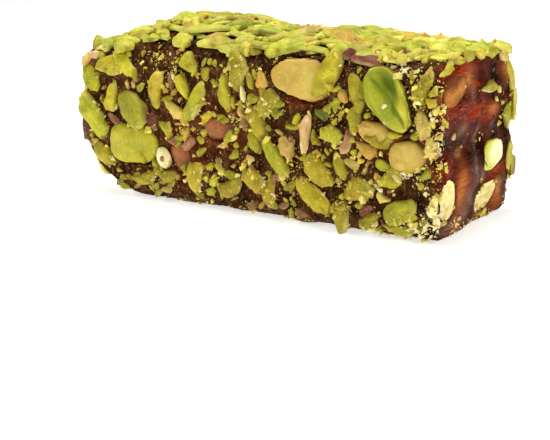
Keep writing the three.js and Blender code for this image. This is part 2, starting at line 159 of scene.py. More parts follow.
# Smaller pieces on each side, in the order in which they are made: along or across, up, length,
# width, turn, shape and colour. A last number lifts a piece that lies on others.
CHIPS = [
    ("front", [
        (-18.2, 27.7, 4.5, 1.8, 89, "blade", "skin"), (0.5, 27.1, 4.8, 0.8, -80, "blade", "white"),
        (2.6, 29.8, 3.6, 1.7, -82, "blade", "olive"), (5.4, 30.2, 3.9, 2.9, -80, "wedge", "tan"),
        (-0.5, 32, 3.9, 2.7, 10, "nugget", "yellow"), (-20.1, 17.2, 4.4, 3.2, -71, "broken", "lime"),
        (-15.9, 15.8, 5.2, 1.6, 20, "wedge", "green"), (-24.1, 19.1, 2.8, 3.4, 10, "nugget", "red_skin"),
        (-13.4, 15.3, 2.4, 2.0, 0, "nugget", "skin"), (0.6, 20.8, 2.6, 2.8, 0, "nugget", "pink"),
        (-8.4, 4.6, 2.6, 2, 30, "nugget", "lime"), (-1.7, 13.4, 3.2, 2, 60, "broken", "olive"),
        (-4.9, 15.2, 2.8, 1.6, 20, "broken", "beige"), (-10.6, 13.2, 3, 1.6, 60, "broken", "lime"),
        (-8.3, 10.3, 2.2, 1.7, 20, "nugget", "lime"), (-5.2, 9.4, 1.9, 1.6, 70, "nugget", "cream"),
        (-3.5, 9.4, 1.8, 1.5, 10, "nugget", "lime"), (-26.6, 26.2, 2.6, 1.4, 60, "broken", "green"),
        (25.5, 19.1, 5.6, 1.9, 78, "crescent", "pink"), (25.9, 21.3, 2.4, 1.5, 80, "broken", "purple"),
        (29.6, 17.7, 5.5, 3.2, -10, "broken", "tan"), (31.7, 20.2, 4.1, 2.4, -40, "broken", "olive"),
        (18.2, 19.4, 3.7, 1.9, -73, "broken", "olive"), (29.7, 5.6, 3.5, 2.2, 32, "nugget", "purple"),
        (36.6, 2.2, 7.6, 2, -3, "broken", "yellow"), (43.2, 15, 2, 1.2, 20, "broken", "olive"),
        (30.3, 24.8, 1.6, 1.4, 0, "nugget", "lime"), (20.8, 25.5, 2, 1.8, 0, "nugget", "lime"),
        (19.7, 24.1, 3.2, 2.8, 17, "broken", "deep_green"), (13.9, 22.7, 2.7, 1.6, 69, "oval", "lime"),
        (15.6, 19.4, 7.4, 1.7, 84, "blade", "white"), (33.4, 8.6, 3.4, 2, -30, "broken", "cream"),
        (12.4, 8.6, 3, 2, 40, "broken", "olive"), (22.6, 5.2, 3, 1.8, 80, "broken", "yellow"),
        (-26.8, 10.6, 3, 1.8, -60, "broken", "lime"), (9.4, 25.4, 2.8, 1.8, 20, "nugget", "green"),
        (-20.8, 10.8, 5, 4.4, 87, "oval", "white", 0.7), (-20.7, 10.9, 1.3, 1, 80, "oval", "pink", 1.35),
        (34.2, 27.2, 1.5, 1.1, 30, "nugget", "white"), (34.6, 24.4, 1.2, 0.8, 80, "nugget", "bone"),
    ]),
    ("top", [
        (29, -17, 7.4, 2.4, 4, "blade", "purple", 1.0),
        (24.6, -16.4, 3, 2.4, 60, "nugget", "red_skin", 1.2),
        (35.6, -12.6, 3.4, 1.4, -12, "blade", "purple", 1.3),
        (-14.2, 12.4, 12.6, 7, -10, "oval", "green", 1.5),
        (-13.2, -10.8, 9.6, 5.4, 24, "oval", "lime", 1.4), (2.8, -8, 12.4, 3.6, 8, "blade", "green", 1.5),
        (2.8, 13.6, 10.4, 3.8, 0, "broken", "skin_pale", 1.4),
        (-43, -2.6, 5, 3.6, 30, "nugget", "skin_pale", 1.2), (-35.6, 13, 5, 3.4, 10, "nugget", "bone", 1.4),
        (40.4, -3.4, 9.6, 4.6, 10, "oval", "lime", 1.4),
    ]),
    ("front", [
        (20.6, 31.9, 10.9, 4.3, 62, "oval", "lime", 0.8),
        (-44.4, 16.4, 7, 2.4, 84, "oval", "red_skin", 0.3), (-5.4, 21, 2.4, 1.5, 10, "broken", "lime"),
        (-9.6, 17.6, 2.6, 1.8, 70, "broken", "yellow"), (-2.2, 17.2, 2.2, 1.6, 40, "nugget", "cream"),
        (-16.8, 14, 2.2, 1.4, 20, "broken", "olive"), (-15, 9.4, 2, 1.4, 70, "broken", "lime"),
        (-8.9, 20.8, 4.4, 2.3, 30, "broken", "yellow", 0.2),
        (-3.2, 16.9, 3.4, 2, 50, "broken", "lime", 0.2), (-4.2, 20.6, 2, 1.4, 0, "nugget", "olive", 0.1),
        (-13.8, 14.5, 3.8, 2.4, 30, "nugget", "pink", 0.4),
        (-17.8, 14.8, 3, 1.8, -30, "broken", "skin", 0.4),
        (29.6, 22.4, 3.8, 1.6, -24, "broken", "beige", 0.2),
        (34, 19.6, 3.8, 2.2, 30, "broken", "olive", 0.1), (36, 14.6, 2.4, 1.6, 10, "broken", "yellow"),
        (38.6, 14.8, 2.8, 1.6, -20, "nugget", "yellow"), (41, 15.6, 2, 1.4, 50, "broken", "cream"),
        (44.6, 30.6, 2.6, 1.6, 40, "broken", "lime", 0.5),
        (43.8, 28.6, 2.4, 1.5, -30, "broken", "yellow", 0.4),
        (44.8, 27.2, 1.8, 1.3, 60, "nugget", "cream", 0.4), (43, 32.2, 2, 1.4, 10, "broken", "olive", 0.4),
        (-43.6, 32.4, 4.6, 2.4, 50, "broken", "beige", 0.2),
        (-44.6, 30.2, 3.6, 2, 80, "nugget", "olive", 0.1),
        (-40.8, 33.8, 4, 2, 6, "nugget", "skin_pale", 0.2),
    ]),
    ("left", [
        (11.5, 14, 6.9, 2.8, -87, "oval", "red_skin"), (-12.6, 15.6, 6.4, 3, -84, "oval", "red_skin"),
    ]),
    ("right", [
        (4.6, 27.8, 9.8, 2.6, 0, "broken", "olive"), (-14.8, 34, 5.4, 1.8, 6, "broken", "lime"),
        (-10, 35, 5.6, 1.8, -3, "broken", "yellow"), (-4.4, 35.4, 6.4, 2, 2, "oval", "lime"),
        (1.2, 35, 5.4, 2.4, -4, "broken", "yellow"), (6.4, 34.8, 6.4, 2.6, 3, "broken", "lime"),
        (12.2, 33.2, 4.6, 2, -16, "nugget", "beige", 0.1), (15.2, 21.4, 7.4, 4.6, 78, "nugget", "lime"),
        (16, 12.2, 6.4, 3, 86, "oval", "lime"), (16.2, 29.4, 7.6, 2.4, -80, "blade", "lime"),
    ]),
    ("back", [
        (43.4, 21.6, 7.4, 4.6, 86, "oval", "lime"), (43.9, 12.8, 6, 3, 88, "oval", "lime"),
        (43.9, 29.4, 6.6, 2, -84, "blade", "lime"),
    ]),
]

# Extra slivers and flakes between the large ones: side, how many, length, width, thickness, how far
# they may be lifted, and how closely they may lie.
FILL = [
    ("top", 170, (5, 9), (2.4, 4.4), (0.6, 1.0), 1.0, 0.4),
    ("top", 240, (2.4, 5), (1.2, 2.8), (0.5, 0.9), 1.1, 0.34),
    ("front", 36, (2.6, 4.2), (1.2, 2.4), (0.7, 1.2), 0.1, 0.62),
    ("front", 120, (1.1, 2.6), (0.7, 1.6), (0.5, 0.9), 0.1, 0.42),
    ("back", 60, (4.4, 7.5), (2.4, 4), (0.8, 1.3), 0.1, 0.66),
    ("back", 120, (1.6, 4), (1, 2.2), (0.6, 1.0), 0.1, 0.5),
    ("left", 26, (4.4, 7.5), (2.4, 4), (0.8, 1.3), 0.1, 0.62),
    ("left", 50, (1.6, 4), (1, 2.2), (0.6, 1.0), 0.1, 0.5),
    ("bottom", 60, (4.4, 8), (2.4, 4.2), (0.8, 1.2), 0.0, 0.7),
    ("bottom", 90, (1.8, 4), (1, 2.2), (0.7, 1.0), 0.0, 0.55),
    ("right", 4, (1.2, 2.2), (0.8, 1.4), (0.5, 0.8), 0.0, 0.6),
]
# How far those stay from the side's edges.
MARGINS = {"top": 2.2, "front": 1.4, "back": 1.4, "left": 2, "bottom": 7, "right": 1.5}


# ---- Colour

def linear(red, green, blue):
    """A colour given from 0 to 255, as the linear colour that shaders take."""
    def channel(value):
        share = value / 255
        return share / 12.92 if share <= 0.04045 else ((share + 0.055) / 1.055) ** 2.4
    return (channel(red), channel(green), channel(blue), 1.0)


TINTS = {
    "lime": linear(182, 174, 32),
    "yellow": linear(198, 184, 48),
    "olive": linear(168, 152, 28),
    "green": linear(160, 164, 26),
    "deep_green": linear(108, 116, 20),
    "cream": linear(226, 206, 112),
    "beige": linear(200, 168, 100),
    "tan": linear(204, 162, 76),
    "bone": linear(236, 200, 166),
    "white": linear(255, 240, 204),
    "skin": linear(146, 94, 76),
    "skin_pale": linear(206, 164, 130),
    "red_skin": linear(96, 24, 32),
    "purple": linear(124, 44, 62),
    "pink": linear(168, 116, 100),
}
# How much stronger the red, green and blue of the green pieces on a side are.
SIDE_TONES = {"top": (1.17, 1.32, 3.4)}
GREENS = ("lime", "yellow", "olive", "green", "deep_green")
FLAKE_MIX = {
    "top": (
        "lime", "yellow", "lime", "olive", "cream", "green", "lime", "yellow", "lime", "tan",
        "lime", "lime", "yellow", "green", "lime", "olive", "yellow", "lime", "beige", "lime",
    ),
    "front": ("lime", "olive", "yellow", "beige", "lime", "olive", "green", "olive", "skin", "tan"),
    "back": ("lime", "olive", "yellow", "green", "lime", "olive", "tan"),
    "left": ("lime", "olive", "yellow", "lime", "green", "olive"),
    "bottom": ("olive", "lime", "tan", "olive", "yellow"),
    "right": ("cream", "lime", "bone", "olive"),
}


# ---- The jelly's surface

def smooth(low, high, x):
    share = np.clip((x - low) / (high - low), 0, 1)
    return share * share * (3 - 2 * share)


def bell(first, second=0):
    """1 where both are 0, falling to nothing past 1."""
    return np.exp(-(first**2 + second**2))


class Draws:
    """Plain repeatable random numbers from 0 to 1, the same as the solids use."""

    def __init__(self, seed):
        self.state = seed

    def __call__(self):
        self.state = (self.state * 1664525 + 1013904223) % 2**32
        return self.state / 2**32

    def between(self, low, high):
        return low + (high - low) * self()

    def pick(self, choices):
        return choices[int(self() * len(choices))]


def rounded(q):
    """The square block with its edges rounded: long edges, the left end softly, the cut end hardly."""
    right = q[:, 0] > 0
    along = np.where(right, ROUNDING["right"], ROUNDING["left"])
    power = np.where(right, SHARPNESS["right"], SHARPNESS["left"])
    back = smooth(-ROUNDING["blend"], ROUNDING["blend"], q[:, 1])
    side = ROUNDING["front"] + (ROUNDING["back"] - ROUNDING["front"]) * back
    cx = np.clip(q[:, 0], JELLY_LEFT + along, JELLY_RIGHT - along)
    cy = np.clip(q[:, 1], -JELLY_HALF_DEPTH + side, JELLY_HALF_DEPTH - side)
    cz = np.clip(q[:, 2], JELLY_FLOOR + side, JELLY_TOP - side)
    dx, dy, dz = (q[:, 0] - cx) / along, (q[:, 1] - cy) / side, (q[:, 2] - cz) / side
    level = np.maximum(np.abs(dy), np.abs(dz))
    flat = np.where(level > 0, level / np.maximum(np.hypot(dy, dz), TINY), 1)
    most = np.maximum(level, np.abs(dx))
    spread = (level**power + np.abs(dx) ** power) ** (1 / power)
    whole = np.where(most > 0, most / np.maximum(spread, TINY), 1)
    return np.stack([
        cx + dx * whole * along,
        cy + dy * flat * whole * side,
        cz + dz * flat * whole * side,
    ], axis=1)


def top_height(x, y):
    across = y / JELLY_HALF_DEPTH
    left = 1 - smooth(JELLY_LEFT, CROWN["left from"], x)
    right = smooth(CROWN["right from"], JELLY_RIGHT, x)
    crown = CROWN["height"] - CROWN["right fall"] * right - CROWN["left fall"] * left
    hump = bell((x - HUMP["x"]) / HUMP["spread"], (y - HUMP["y"]) / HUMP["spread"])
    edge = JELLY_TOP - LEFT_EDGE_FALL * left
    return edge + crown * (1 - across * across) + HUMP["height"] * hump


def cut_relief(y, z):
    """The knife drags the jelly into soft ridges on the cut end."""
    ridge = np.sin(RIDGES["z"] * z + RIDGES["bend"] * np.sin(RIDGES["y"] * y + RIDGES["start"]))
    roll = np.sin(ROLLS["y"] * y + ROLLS["z"] * z + ROLLS["start"])
    return RIDGES["height"] * (1 + ridge) + ROLLS["height"] * (1 + roll)


def jelly_point(q):
    """A point of the square block's surface, moved to the jelly's surface."""
    p = rounded(q)
    up = np.clip((p[:, 2] - JELLY_FLOOR) / HEIGHT, 0, 1)
    near_cut = smooth(JELLY_RIGHT - CUT_REACH, JELLY_RIGHT, p[:, 0])
    low = np.clip(1 - up * HEIGHT / UNDERCUT["height"], 0, 1)
    near_left = 1 - smooth(JELLY_LEFT, JELLY_LEFT + UNDERCUT["reach"], p[:, 0])
    x = p[:, 0] + UNDERCUT["depth"] * low ** UNDERCUT["power"] * near_left
    x = x - near_cut * cut_relief(p[:, 1], p[:, 2])
    z = JELLY_FLOOR + up * (top_height(p[:, 0], p[:, 1]) - JELLY_FLOOR)
    share = p[:, 1] / JELLY_HALF_DEPTH
    bulge = SIDE_BULGE * np.sin(np.pi * up) * share
    spread = BACK_SPREAD * (1 - up) * np.maximum(0, share)
    wave = sum(np.sin(w["x"] * p[:, 0] + w["z"] * p[:, 2] + w["start"]) for w in WAVES)
    y = p[:, 1] + bulge + spread + WAVE_HEIGHT["side"] * wave * up * np.abs(share)
    return np.stack([x, y, z + WAVE_HEIGHT["top"] * wave * up * up], axis=1)


X, Y, Z = np.eye(3)
NEAR = np.array([JELLY_LEFT, -JELLY_HALF_DEPTH, JELLY_FLOOR])
FACES = {
    "front": {"corner": NEAR, "u": X, "v": Z, "size": (RUN, HEIGHT), "out": -Y},
    "back": {"corner": NEAR + ACROSS * Y, "u": X, "v": Z, "size": (RUN, HEIGHT), "out": Y},
    "top": {"corner": NEAR + HEIGHT * Z, "u": X, "v": Y, "size": (RUN, ACROSS), "out": Z},
    "bottom": {"corner": NEAR, "u": X, "v": Y, "size": (RUN, ACROSS), "out": -Z},
    "left": {"corner": NEAR, "u": Y, "v": Z, "size": (ACROSS, HEIGHT), "out": -X},
    "right": {"corner": NEAR + RUN * X, "u": Y, "v": Z, "size": (ACROSS, HEIGHT), "out": X},
}


def unit(vector):
    return vector / max(np.linalg.norm(vector), TINY)


def surface_frame(face, u, v, turn, level=0.0):
    """Where a place on a side lies, and the directions along, across and out of the surface there."""
    side = FACES[face]
    wide, tall = side["size"]
    u, v = min(max(u, 0), wide), min(max(v, 0), tall)
    us = [u, min(u + FRAME_REACH, wide), max(u - FRAME_REACH, 0), u, u]
    vs = [v, v, v, min(v + FRAME_REACH, tall), max(v - FRAME_REACH, 0)]
    block = side["corner"] + np.outer(us, side["u"]) + np.outer(vs, side["v"])
    at, u1, u0, v1, v0 = jelly_point(block)
    out = unit(np.cross(u1 - u0, v1 - v0))
    if out @ side["out"] < 0:
        out = -out
    out = unit(out * (1 - level) + side["out"] * level)
    first = (u1 - u0) - out * ((u1 - u0) @ out)
    second = (v1 - v0) - out * ((v1 - v0) @ out)
    first, second = unit(first), unit(second)
    angle = math.radians(turn)
    long = unit(first * math.cos(angle) + second * math.sin(angle))
    return at, long, unit(np.cross(out, long)), out


def place_on(face, first, second):
    """A place given from the bar's middle and its floor, as a distance from the side's corner."""
    corner = FACES[face]["corner"]
    start_u = corner[0] if FACES[face]["u"][0] else corner[1]
    start_v = corner[1] if FACES[face]["v"][1] else corner[2]
    return first - start_u, second - start_v


def kernel_frame(kernel):
    """Where a kernel's middle meets the jelly, and the directions along, across and out of it."""
    u, v = place_on(kernel.face, *kernel.place)
    return surface_frame(kernel.face, u, v, kernel.turn)


def half_sizes(kernel):
    """Half its length and width, and how far its rounded side reaches from its middle."""
    length, width, thick = kernel.size
    return length / 2, width / 2, thick if kernel.inner else thick / 2


# ---- Where the slivers lie: the same rule and the same draws as in the solids

def flat_piece(face, place, length, width, turn=0):
    """A piece on a side: its distance from the side's corner, its size and its turn in degrees."""
    u, v = place_on(face, *place)
    return {"face": face, "u": u, "v": v, "length": length, "width": width, "turn": turn}


def chance_piece(draws, face, margin, lengths, widths):
    """A piece of a chance size and turn, anywhere on a side except near its edges."""
    wide, tall = FACES[face]["size"]
    return {
        "face": face,
        "u": margin + (wide - 2 * margin) * draws(),
        "v": margin + (tall - 2 * margin) * draws(),
        "length": draws.between(*lengths),
        "width": draws.between(*widths),
        "turn": 180 * draws(),
    }


def leaning(draws, degrees):
    """A chance lean along and across a piece, up to so many degrees each way."""
    lean = math.tan(math.radians(degrees))
    return {"pitch": lean * draws.between(-1, 1), "roll": lean * draws.between(-1, 1)}


def drawn(draws, piece):
    """A sliver's thickness and lean. The solids draw its corners next, so those draws are passed over."""
    piece["thick"] = draws.between(*THICKNESS)
    piece |= leaning(draws, TILT)
    for _ in range(SLIVER_CORNERS):
        draws()
    return piece


def kernel_spots():
    return [flat_piece(kernel.face, kernel.place, *kernel.size[:2]) for kernel in KERNELS]


def is_free(piece, others, closeness):
    reach = math.sqrt(piece["length"] * piece["width"]) / 2
    for other in others:
        if other["face"] != piece["face"]:
            continue
        apart = math.hypot(other["u"] - piece["u"], other["v"] - piece["v"])
        room = closeness * (reach + math.sqrt(other["length"] * other["width"]) / 2)
        if apart <= room:
            return False
    return True


def main_slivers():
    """The slivers that the solids have too, with a shape and a colour for each."""
    draws = Draws(SEED)
    looks = Draws(SEED + 1)
    pieces = []
    for *place, length, width, turn, shape, tint in FRONT_SLIVERS:
        piece = drawn(draws, flat_piece("front", place, length, width, turn))
        pieces.append(piece | {"shape": shape, "tint": tint})
    rest = drawn(draws, flat_piece("bottom", *REST_SLIVER))
    pieces.append(rest | {"shape": "oval", "tint": "olive"})
    kernels = kernel_spots()
    for face, counts, closeness, margin in SCATTER:
        for (lengths, widths), count in zip(SLIVER_SIZES, counts):
            left = count
            for _ in range(TRIES * count):
                if left <= 0:
                    break
                piece = chance_piece(draws, face, margin, lengths, widths)
                if not is_free(piece, pieces + kernels, closeness):
                    continue
                drawn(draws, piece)
                piece["shape"] = looks.pick(SHAPES_LAID)
                piece["tint"] = "olive" if face == "front" else looks.pick(FLAKE_MIX[face])
                pieces.append(piece)
                left -= 1
    return pieces


# ---- Meshes

def new_object(name, mesh):
    piece = bpy.data.objects.new(name, mesh)
    bpy.context.scene.collection.objects.link(piece)
    return piece


def mesh_from(name, points, faces):
    mesh = bpy.data.meshes.new(name)
    mesh.from_pydata([tuple(p) for p in points], [], faces)
    mesh.update()
    return mesh


def shell_faces(rings, count, turned=False):
    """The faces of a closed skin: rings of points, then a point that closes each end."""
    first, last, end = rings * count, rings * count + 1, (rings - 1) * count
    faces = []
    for ring in range(rings - 1):
        for i in range(count):
            k, n = ring * count + i, ring * count + (i + 1) % count
            faces.append((k, n, n + count, k + count))
    for i in range(count):
        n = (i + 1) % count
        faces.append((first, n, i))
        faces.append((last, end + i, end + n))
    return [(face[0], *face[:0:-1]) for face in faces] if turned else faces


def vertex_array(mesh, kind="co"):
    """Each vertex's place, or its normal, as a row of an array."""
    flat = np.empty(len(mesh.vertices) * 3, np.float32)
    mesh.vertices.foreach_get(kind, flat)
    return flat.reshape(-1, 3).astype(float)


def set_vertices(mesh, points):
    mesh.vertices.foreach_set("co", np.asarray(points, np.float32).ravel())
    mesh.update()


def put_attribute(mesh, name, kind, values):
    names = {"FLOAT": "value", "INT": "value", "FLOAT_VECTOR": "vector", "FLOAT_COLOR": "color"}
    attribute = mesh.attributes.get(name) or mesh.attributes.new(name, kind, "POINT")
    number = np.int32 if kind == "INT" else np.float32
    attribute.data.foreach_set(names[kind], np.asarray(values, number).ravel())


def put_floats(mesh, **arrays):
    for name, values in arrays.items():
        put_attribute(mesh, name, "FLOAT", values)


# Uneven surfaces: height, size of a fold, number of layers and seed of each.
RELIEFS = {
    "jelly folds": (0.22, 2.6, 2, 1),
    "jelly wrinkles": (0.12, 0.9, 1, 2),
    "jelly rolls": (0.4, 4.6, 1, 3),
    "crumb patches": (2.6, 4, 1, 9),
    "crumb clumps": (3, 1.1, 1, 19),
    "crust clumps": (4, 1.6, 1, 29),
    "kernel form": (0.05, 0.8, 1, 40),
    "kernel wrinkles": (0.13, 1.3, 2, 0),
    "kernel lumps": (0.28, 3.6, 1, 20),
    "frayed break": (0.3, 1.1, 2, 80),
    "frayed cut": (0.8, 1.4, 1, 60),
    "cut grain": (1.1, 0.9, 2, 0),
    "cut patches": (1, 2.4, 1, 7),
}
OCTAVE = {"fall": 1.0, "ratio": 2.0}
SEED_SHIFT = (17.3, 5.7, 11.1)


def relief(kind, points, number=0):
    """Smooth noise at each point, up to about its kind's height, different for each number."""
    height, size, layers, seed = RELIEFS[kind]
    seed += number
    shift = Vector([seed * step for step in SEED_SHIFT])
    fall, ratio = OCTAVE["fall"], OCTAVE["ratio"]
    values = [
        noise.fractal(Vector(p) / size + shift, fall, ratio, layers, noise_basis="PERLIN_ORIGINAL")
        for p in points
    ]
    return height * np.array(values)


# ---- The jelly

CUT_BAND = (2.4, 1.0)        # how far behind the cut end its look starts, and where it is full
BEHIND_KNIFE = 0.02          # how far the jelly stays behind the knife's plane
OFF_BOARD = 0.25             # how far it stays off the board
FOLDS_LOST = 0.75            # how much of the small folds the knife takes away
ROLL_STRETCH = [1, 0.8, 1.4]
ROLL_SHARE = {"side": 0.5, "cut": 0.9}
MEET = {"depth": 0.45, "width": 1.3}     # how the jelly comes up to the kernels that the knife cut
LIP = {"height": 0.45, "width": 0.7}     # how it stands up round the others
POCKET_REACH = 6             # how far in and out a kernel moves the jelly
CUT_POCKET = 0.86            # size of the pocket of a kernel in the cut end, to the kernel's
DEEP_RING = 0.3              # share of a wholly sunken kernel's oval that the jelly leaves open
LEAST_OPEN = 0.05
# Knife marks and swellings in the cut end: across, up, half width, half height and how far out.
CUT_SWELLINGS = [
    (-2, 23.2, 13, 1.6, 0.5), (-8, 26.5, 7, 3, 0.35), (8, 21, 5, 2, 0.4), (2, 17, 1.6, 6, -0.6),
    (-6, 12.5, 3, 4, 0.35), (9, 10, 5, 2, -0.5), (-2, 5, 3, 3, 0.4), (-14, 14, 2, 5, 0.3),
    (6, 31, 8, 2, -0.4),
]
# Where light glows through the cut end, and where the knife smeared it and a milky sheen is painted:
# across, up, half width and half height.
CUT_GLOWS = {
    "amber": [
        (-16.4, 28.8, 2.4, 1.5), (-5.4, 31.2, 3.4, 1.7), (-7.2, 9.8, 2, 4), (5.6, 24.2, 2.6, 0.9),
        (-8.4, 17.4, 1.4, 1), (11.4, 5.4, 2.4, 3), (1.4, 4, 2, 2.4), (14.6, 31.4, 2.4, 2.6),
        (-9.6, 3, 2.2, 1.6),
    ],
    "red": [
        (-12, 25.7, 5, 1.7), (-3, 24.8, 6, 1.8), (4.6, 23.6, 4.4, 1.8), (-7.2, 9.6, 3.2, 4.8),
        (9.6, 10, 4, 3), (-9, 33.6, 9, 1.8), (-14.4, 15, 3, 2.6), (9.6, 4, 4, 2.4), (-2.6, 29.4, 4, 2),
    ],
    "haze": [
        (-0.4, 19.4, 1, 2), (-0.4, 12.6, 1.6, 2.6), (-3.4, 7.6, 1.8, 2.4), (-5.4, 4.8, 1.6, 2),
        (-12.6, 3, 2.8, 1.4), (-3.4, 28.6, 1.2, 1.8), (-7, 21.6, 2, 1.6), (3.4, 10.6, 1.6, 1.2),
    ],
}
# Where the front glows red round sunken kernels: along, up, half length and half height.
FRONT_GLOWS = [
    (-15.5, 11.8, 5, 6.5), (-5.5, 18.8, 7, 4.5), (14.6, 26.2, 6, 1), (35, 19.8, 7, 2),
    (-28, 19.2, 3, 3), (6, 6.2, 3, 1.6),
]
FRONT_GLOW = {"strength": 0.4, "gain": 1.4}
# Where a kernel is broken straight: direction in degrees and distance from its middle.
KERNEL_BREAKS = {
    "kernel_front_tan_large": [(-106, 3.5), (98, 3.9), (130, 5.0), (-148, 5.8)],
    "kernel_front_green_half": [(64, 3.9), (14, 6.4)],
    "kernel_front_half_left": [(-168, 6.6)],
}


def bump_at(first, second, spot):
    """1 in the middle of an oval spot, falling to nothing past its edge."""
    a, b, half_a, half_b = spot
    return bell((first - a) / half_a, (second - b) / half_b)


def facing(normals, face, gain=1):
    """1 where a surface faces as a side does, falling to 0 as it turns away."""
    return np.clip(normals @ FACES[face]["out"] * gain, 0, 1)


def open_share(lift, rise):
    """The share of a kernel's oval where the jelly's surface crosses it."""
    return math.sqrt(max(LEAST_OPEN, 1 - (lift / rise) ** 2)) if abs(lift) < rise else DEEP_RING


def kernel_pockets(points):
    """How far out the jelly stands round each sunken kernel, and how far in it gives way under it."""
    shift = np.zeros_like(points)
    for kernel in KERNELS:
        middle, long, side, out = kernel_frame(kernel)
        half = np.array(half_sizes(kernel))
        half = half * CUT_POCKET if kernel.face == "right" else half + KERNEL_GAP
        local = points - middle
        a, b, c = local @ long / half[0], local @ side / half[1], local @ out
        reach = np.sqrt(a * a + b * b)
        near = np.abs(c) < POCKET_REACH
        ring = open_share(kernel.lift, half[2])
        deep = kernel.lift - half[2] * np.sqrt(np.clip(1 - reach * reach, 0, 1))
        under = near & (reach < ring) & (c > deep)
        for angle, most in KERNEL_BREAKS.get(kernel.node, []):
            away = math.radians(angle)
            under &= (a * half[0] * math.cos(away) + b * half[1] * math.sin(away)) < most + KERNEL_GAP
        shift[under] += np.outer((deep - c)[under], out)
        edge = (reach - ring) * half[:2].mean()
        beside = near & (edge >= 0)
        if kernel.face == "right":
            rise = (LENGTH / 2 - MEET["depth"] - points[:, 0]) * bell(edge / MEET["width"])
            shift[:, 0] += np.where(beside & (points[:, 0] > JELLY_RIGHT - CUT_REACH / 2), rise, 0)
        else:
            lip = np.where(beside, LIP["height"] * bell(edge / LIP["width"]), 0)
            shift += np.outer(lip, out)
    return shift


def jelly_grid():
    """The square block as six grids of evenly spaced points."""
    points, faces = [], []
    for side in FACES.values():
        wide, tall = side["size"]
        across, up = round(wide / JELLY_PITCH), round(tall / JELLY_PITCH)
        start = sum(len(p) for p in points)
        a, b = np.meshgrid(np.linspace(0, wide, across + 1), np.linspace(0, tall, up + 1))
        grid = side["corner"] + np.outer(a.ravel(), side["u"]) + np.outer(b.ravel(), side["v"])
        points.append(grid)
        outward = np.cross(side["u"], side["v"]) @ side["out"] > 0
        for j in range(up):
            for i in range(across):
                k = start + j * (across + 1) + i
                quad = (k, k + 1, k + across + 2, k + across + 1)
                faces.append(quad if outward else quad[::-1])
    return np.concatenate(points), faces


def join_edges(mesh):
    merged = bmesh.new()
    merged.from_mesh(mesh)
    bmesh.ops.remove_doubles(merged, verts=merged.verts, dist=1e-3)
    merged.to_mesh(mesh)
    merged.free()


def jelly_relief(points, cut):
    """How far out the jelly stands from its even surface: folds, rolls and knife marks."""
    y, z = points[:, 1], points[:, 2]
    rough = relief("jelly folds", points) + relief("jelly wrinkles", points)
    soft = relief("jelly rolls", points * ROLL_STRETCH)
    swell = sum(height * bump_at(y, z, spot) for *spot, height in CUT_SWELLINGS)
    rolls = soft * (ROLL_SHARE["side"] + ROLL_SHARE["cut"] * cut)
    return rough * (1 - FOLDS_LOST * cut) + rolls + swell * cut


def jelly_glows(points, normals, cut):
    """How strongly the jelly glows amber or red or has a painted sheen where the knife smeared it, each
    from 0 to 1.
    """
    x, y, z = points.T
    glows = {}
    for name, spots in CUT_GLOWS.items():
        glows[name] = np.clip(sum(bump_at(y, z, spot) for spot in spots), 0, 1) * cut
    front = facing(normals, "front", FRONT_GLOW["gain"])
    for spot in FRONT_GLOWS:
        glow = FRONT_GLOW["strength"] * bump_at(x, z, spot) * front * (1 - cut)
        glows["red"] = np.maximum(glows["red"], glow)
    return glows


def make_jelly():
    block, faces = jelly_grid()
    mesh = mesh_from("jelly", jelly_point(block), faces)
    join_edges(mesh)
    even, normals = vertex_array(mesh), vertex_array(mesh, "normal")
    cut = smooth(JELLY_RIGHT - CUT_BAND[0], JELLY_RIGHT - CUT_BAND[1], even[:, 0])
    points = even + normals * jelly_relief(even, cut)[:, None]
    points = points + kernel_pockets(points)
    points[:, 0] = np.clip(points[:, 0], -LENGTH / 2, LENGTH / 2 - BEHIND_KNIFE)
    points[:, 2] = np.maximum(points[:, 2], OFF_BOARD)
    set_vertices(mesh, points * MM)
    put_floats(mesh, cut=cut, **jelly_glows(even, normals, cut))
    mesh.shade_smooth()
    return new_object("jelly_block", mesh)


# ---- Nut pieces: one small mesh for each shape, 1 long, 1 wide and 1 thick

SHAPES = ["blade", "broken", "crescent", "nugget", "oval", "wedge"]
SHAPES_LAID = ("oval", "broken", "blade", "wedge", "oval", "nugget", "crescent")
VARIANTS = 6
OUTLINE = {"fine": 30, "plain": 16}
# Rings of a piece's mesh, from its underside to its top: share of the outline, height, and how much
# of it is rim.
RINGS = {
    "fine": [
        (0.6, 0.0, 0), (0.95, 0.0, 0.5), (1.0, 0.15, 1), (1.0, 0.5, 1), (0.97, 0.74, 1),
        (0.9, 0.9, 0.5), (0.78, 0.98, 0), (0.5, 1.0, 0), (0.22, 1.0, 0),
    ],
    "plain": [(0.95, 0.0, 0.6), (1.0, 0.25, 1), (0.98, 0.72, 1), (0.86, 0.95, 0.2), (0.5, 1.0, 0)],
}
DOME = 0.5                   # how much thicker a piece is in its middle than at its edge
# How each shape is cut: roundness and taper of the nut, its bend, how ragged its edge is, how many
# straight breaks it has and how deep they go.
Form = namedtuple("Form", "power taper bend ragged breaks deep")
FORMS = {
    "blade": Form(2.0, 0.2, 0.07, 0.03, 1, (0.75, 0.9)),
    "broken": Form(2.2, 0.2, 0.06, 0.08, 4, (0.4, 0.75)),
    "crescent": Form(2.5, 0.12, 0.3, 0.03, 0, (0.7, 0.9)),
    "nugget": Form(2.3, 0.15, 0.0, 0.08, 4, (0.5, 0.8)),
    "oval": Form(2.3, 0.15, 0.06, 0.04, 1, (0.75, 0.95)),
    "wedge": Form(2.1, 0.5, 0.05, 0.05, 2, (0.6, 0.85)),
}

# How a piece's outline varies: its taper, the waves in its edge, and how much of what lies past a
# straight break is taken off.
TAPER_RANGE = (0.7, 1.2)
EDGE_WAVES = (2, 3, 5, 7, 9)
BROKEN_OFF = 0.95
PHASES = 6.3                 # the waves start anywhere in a full turn
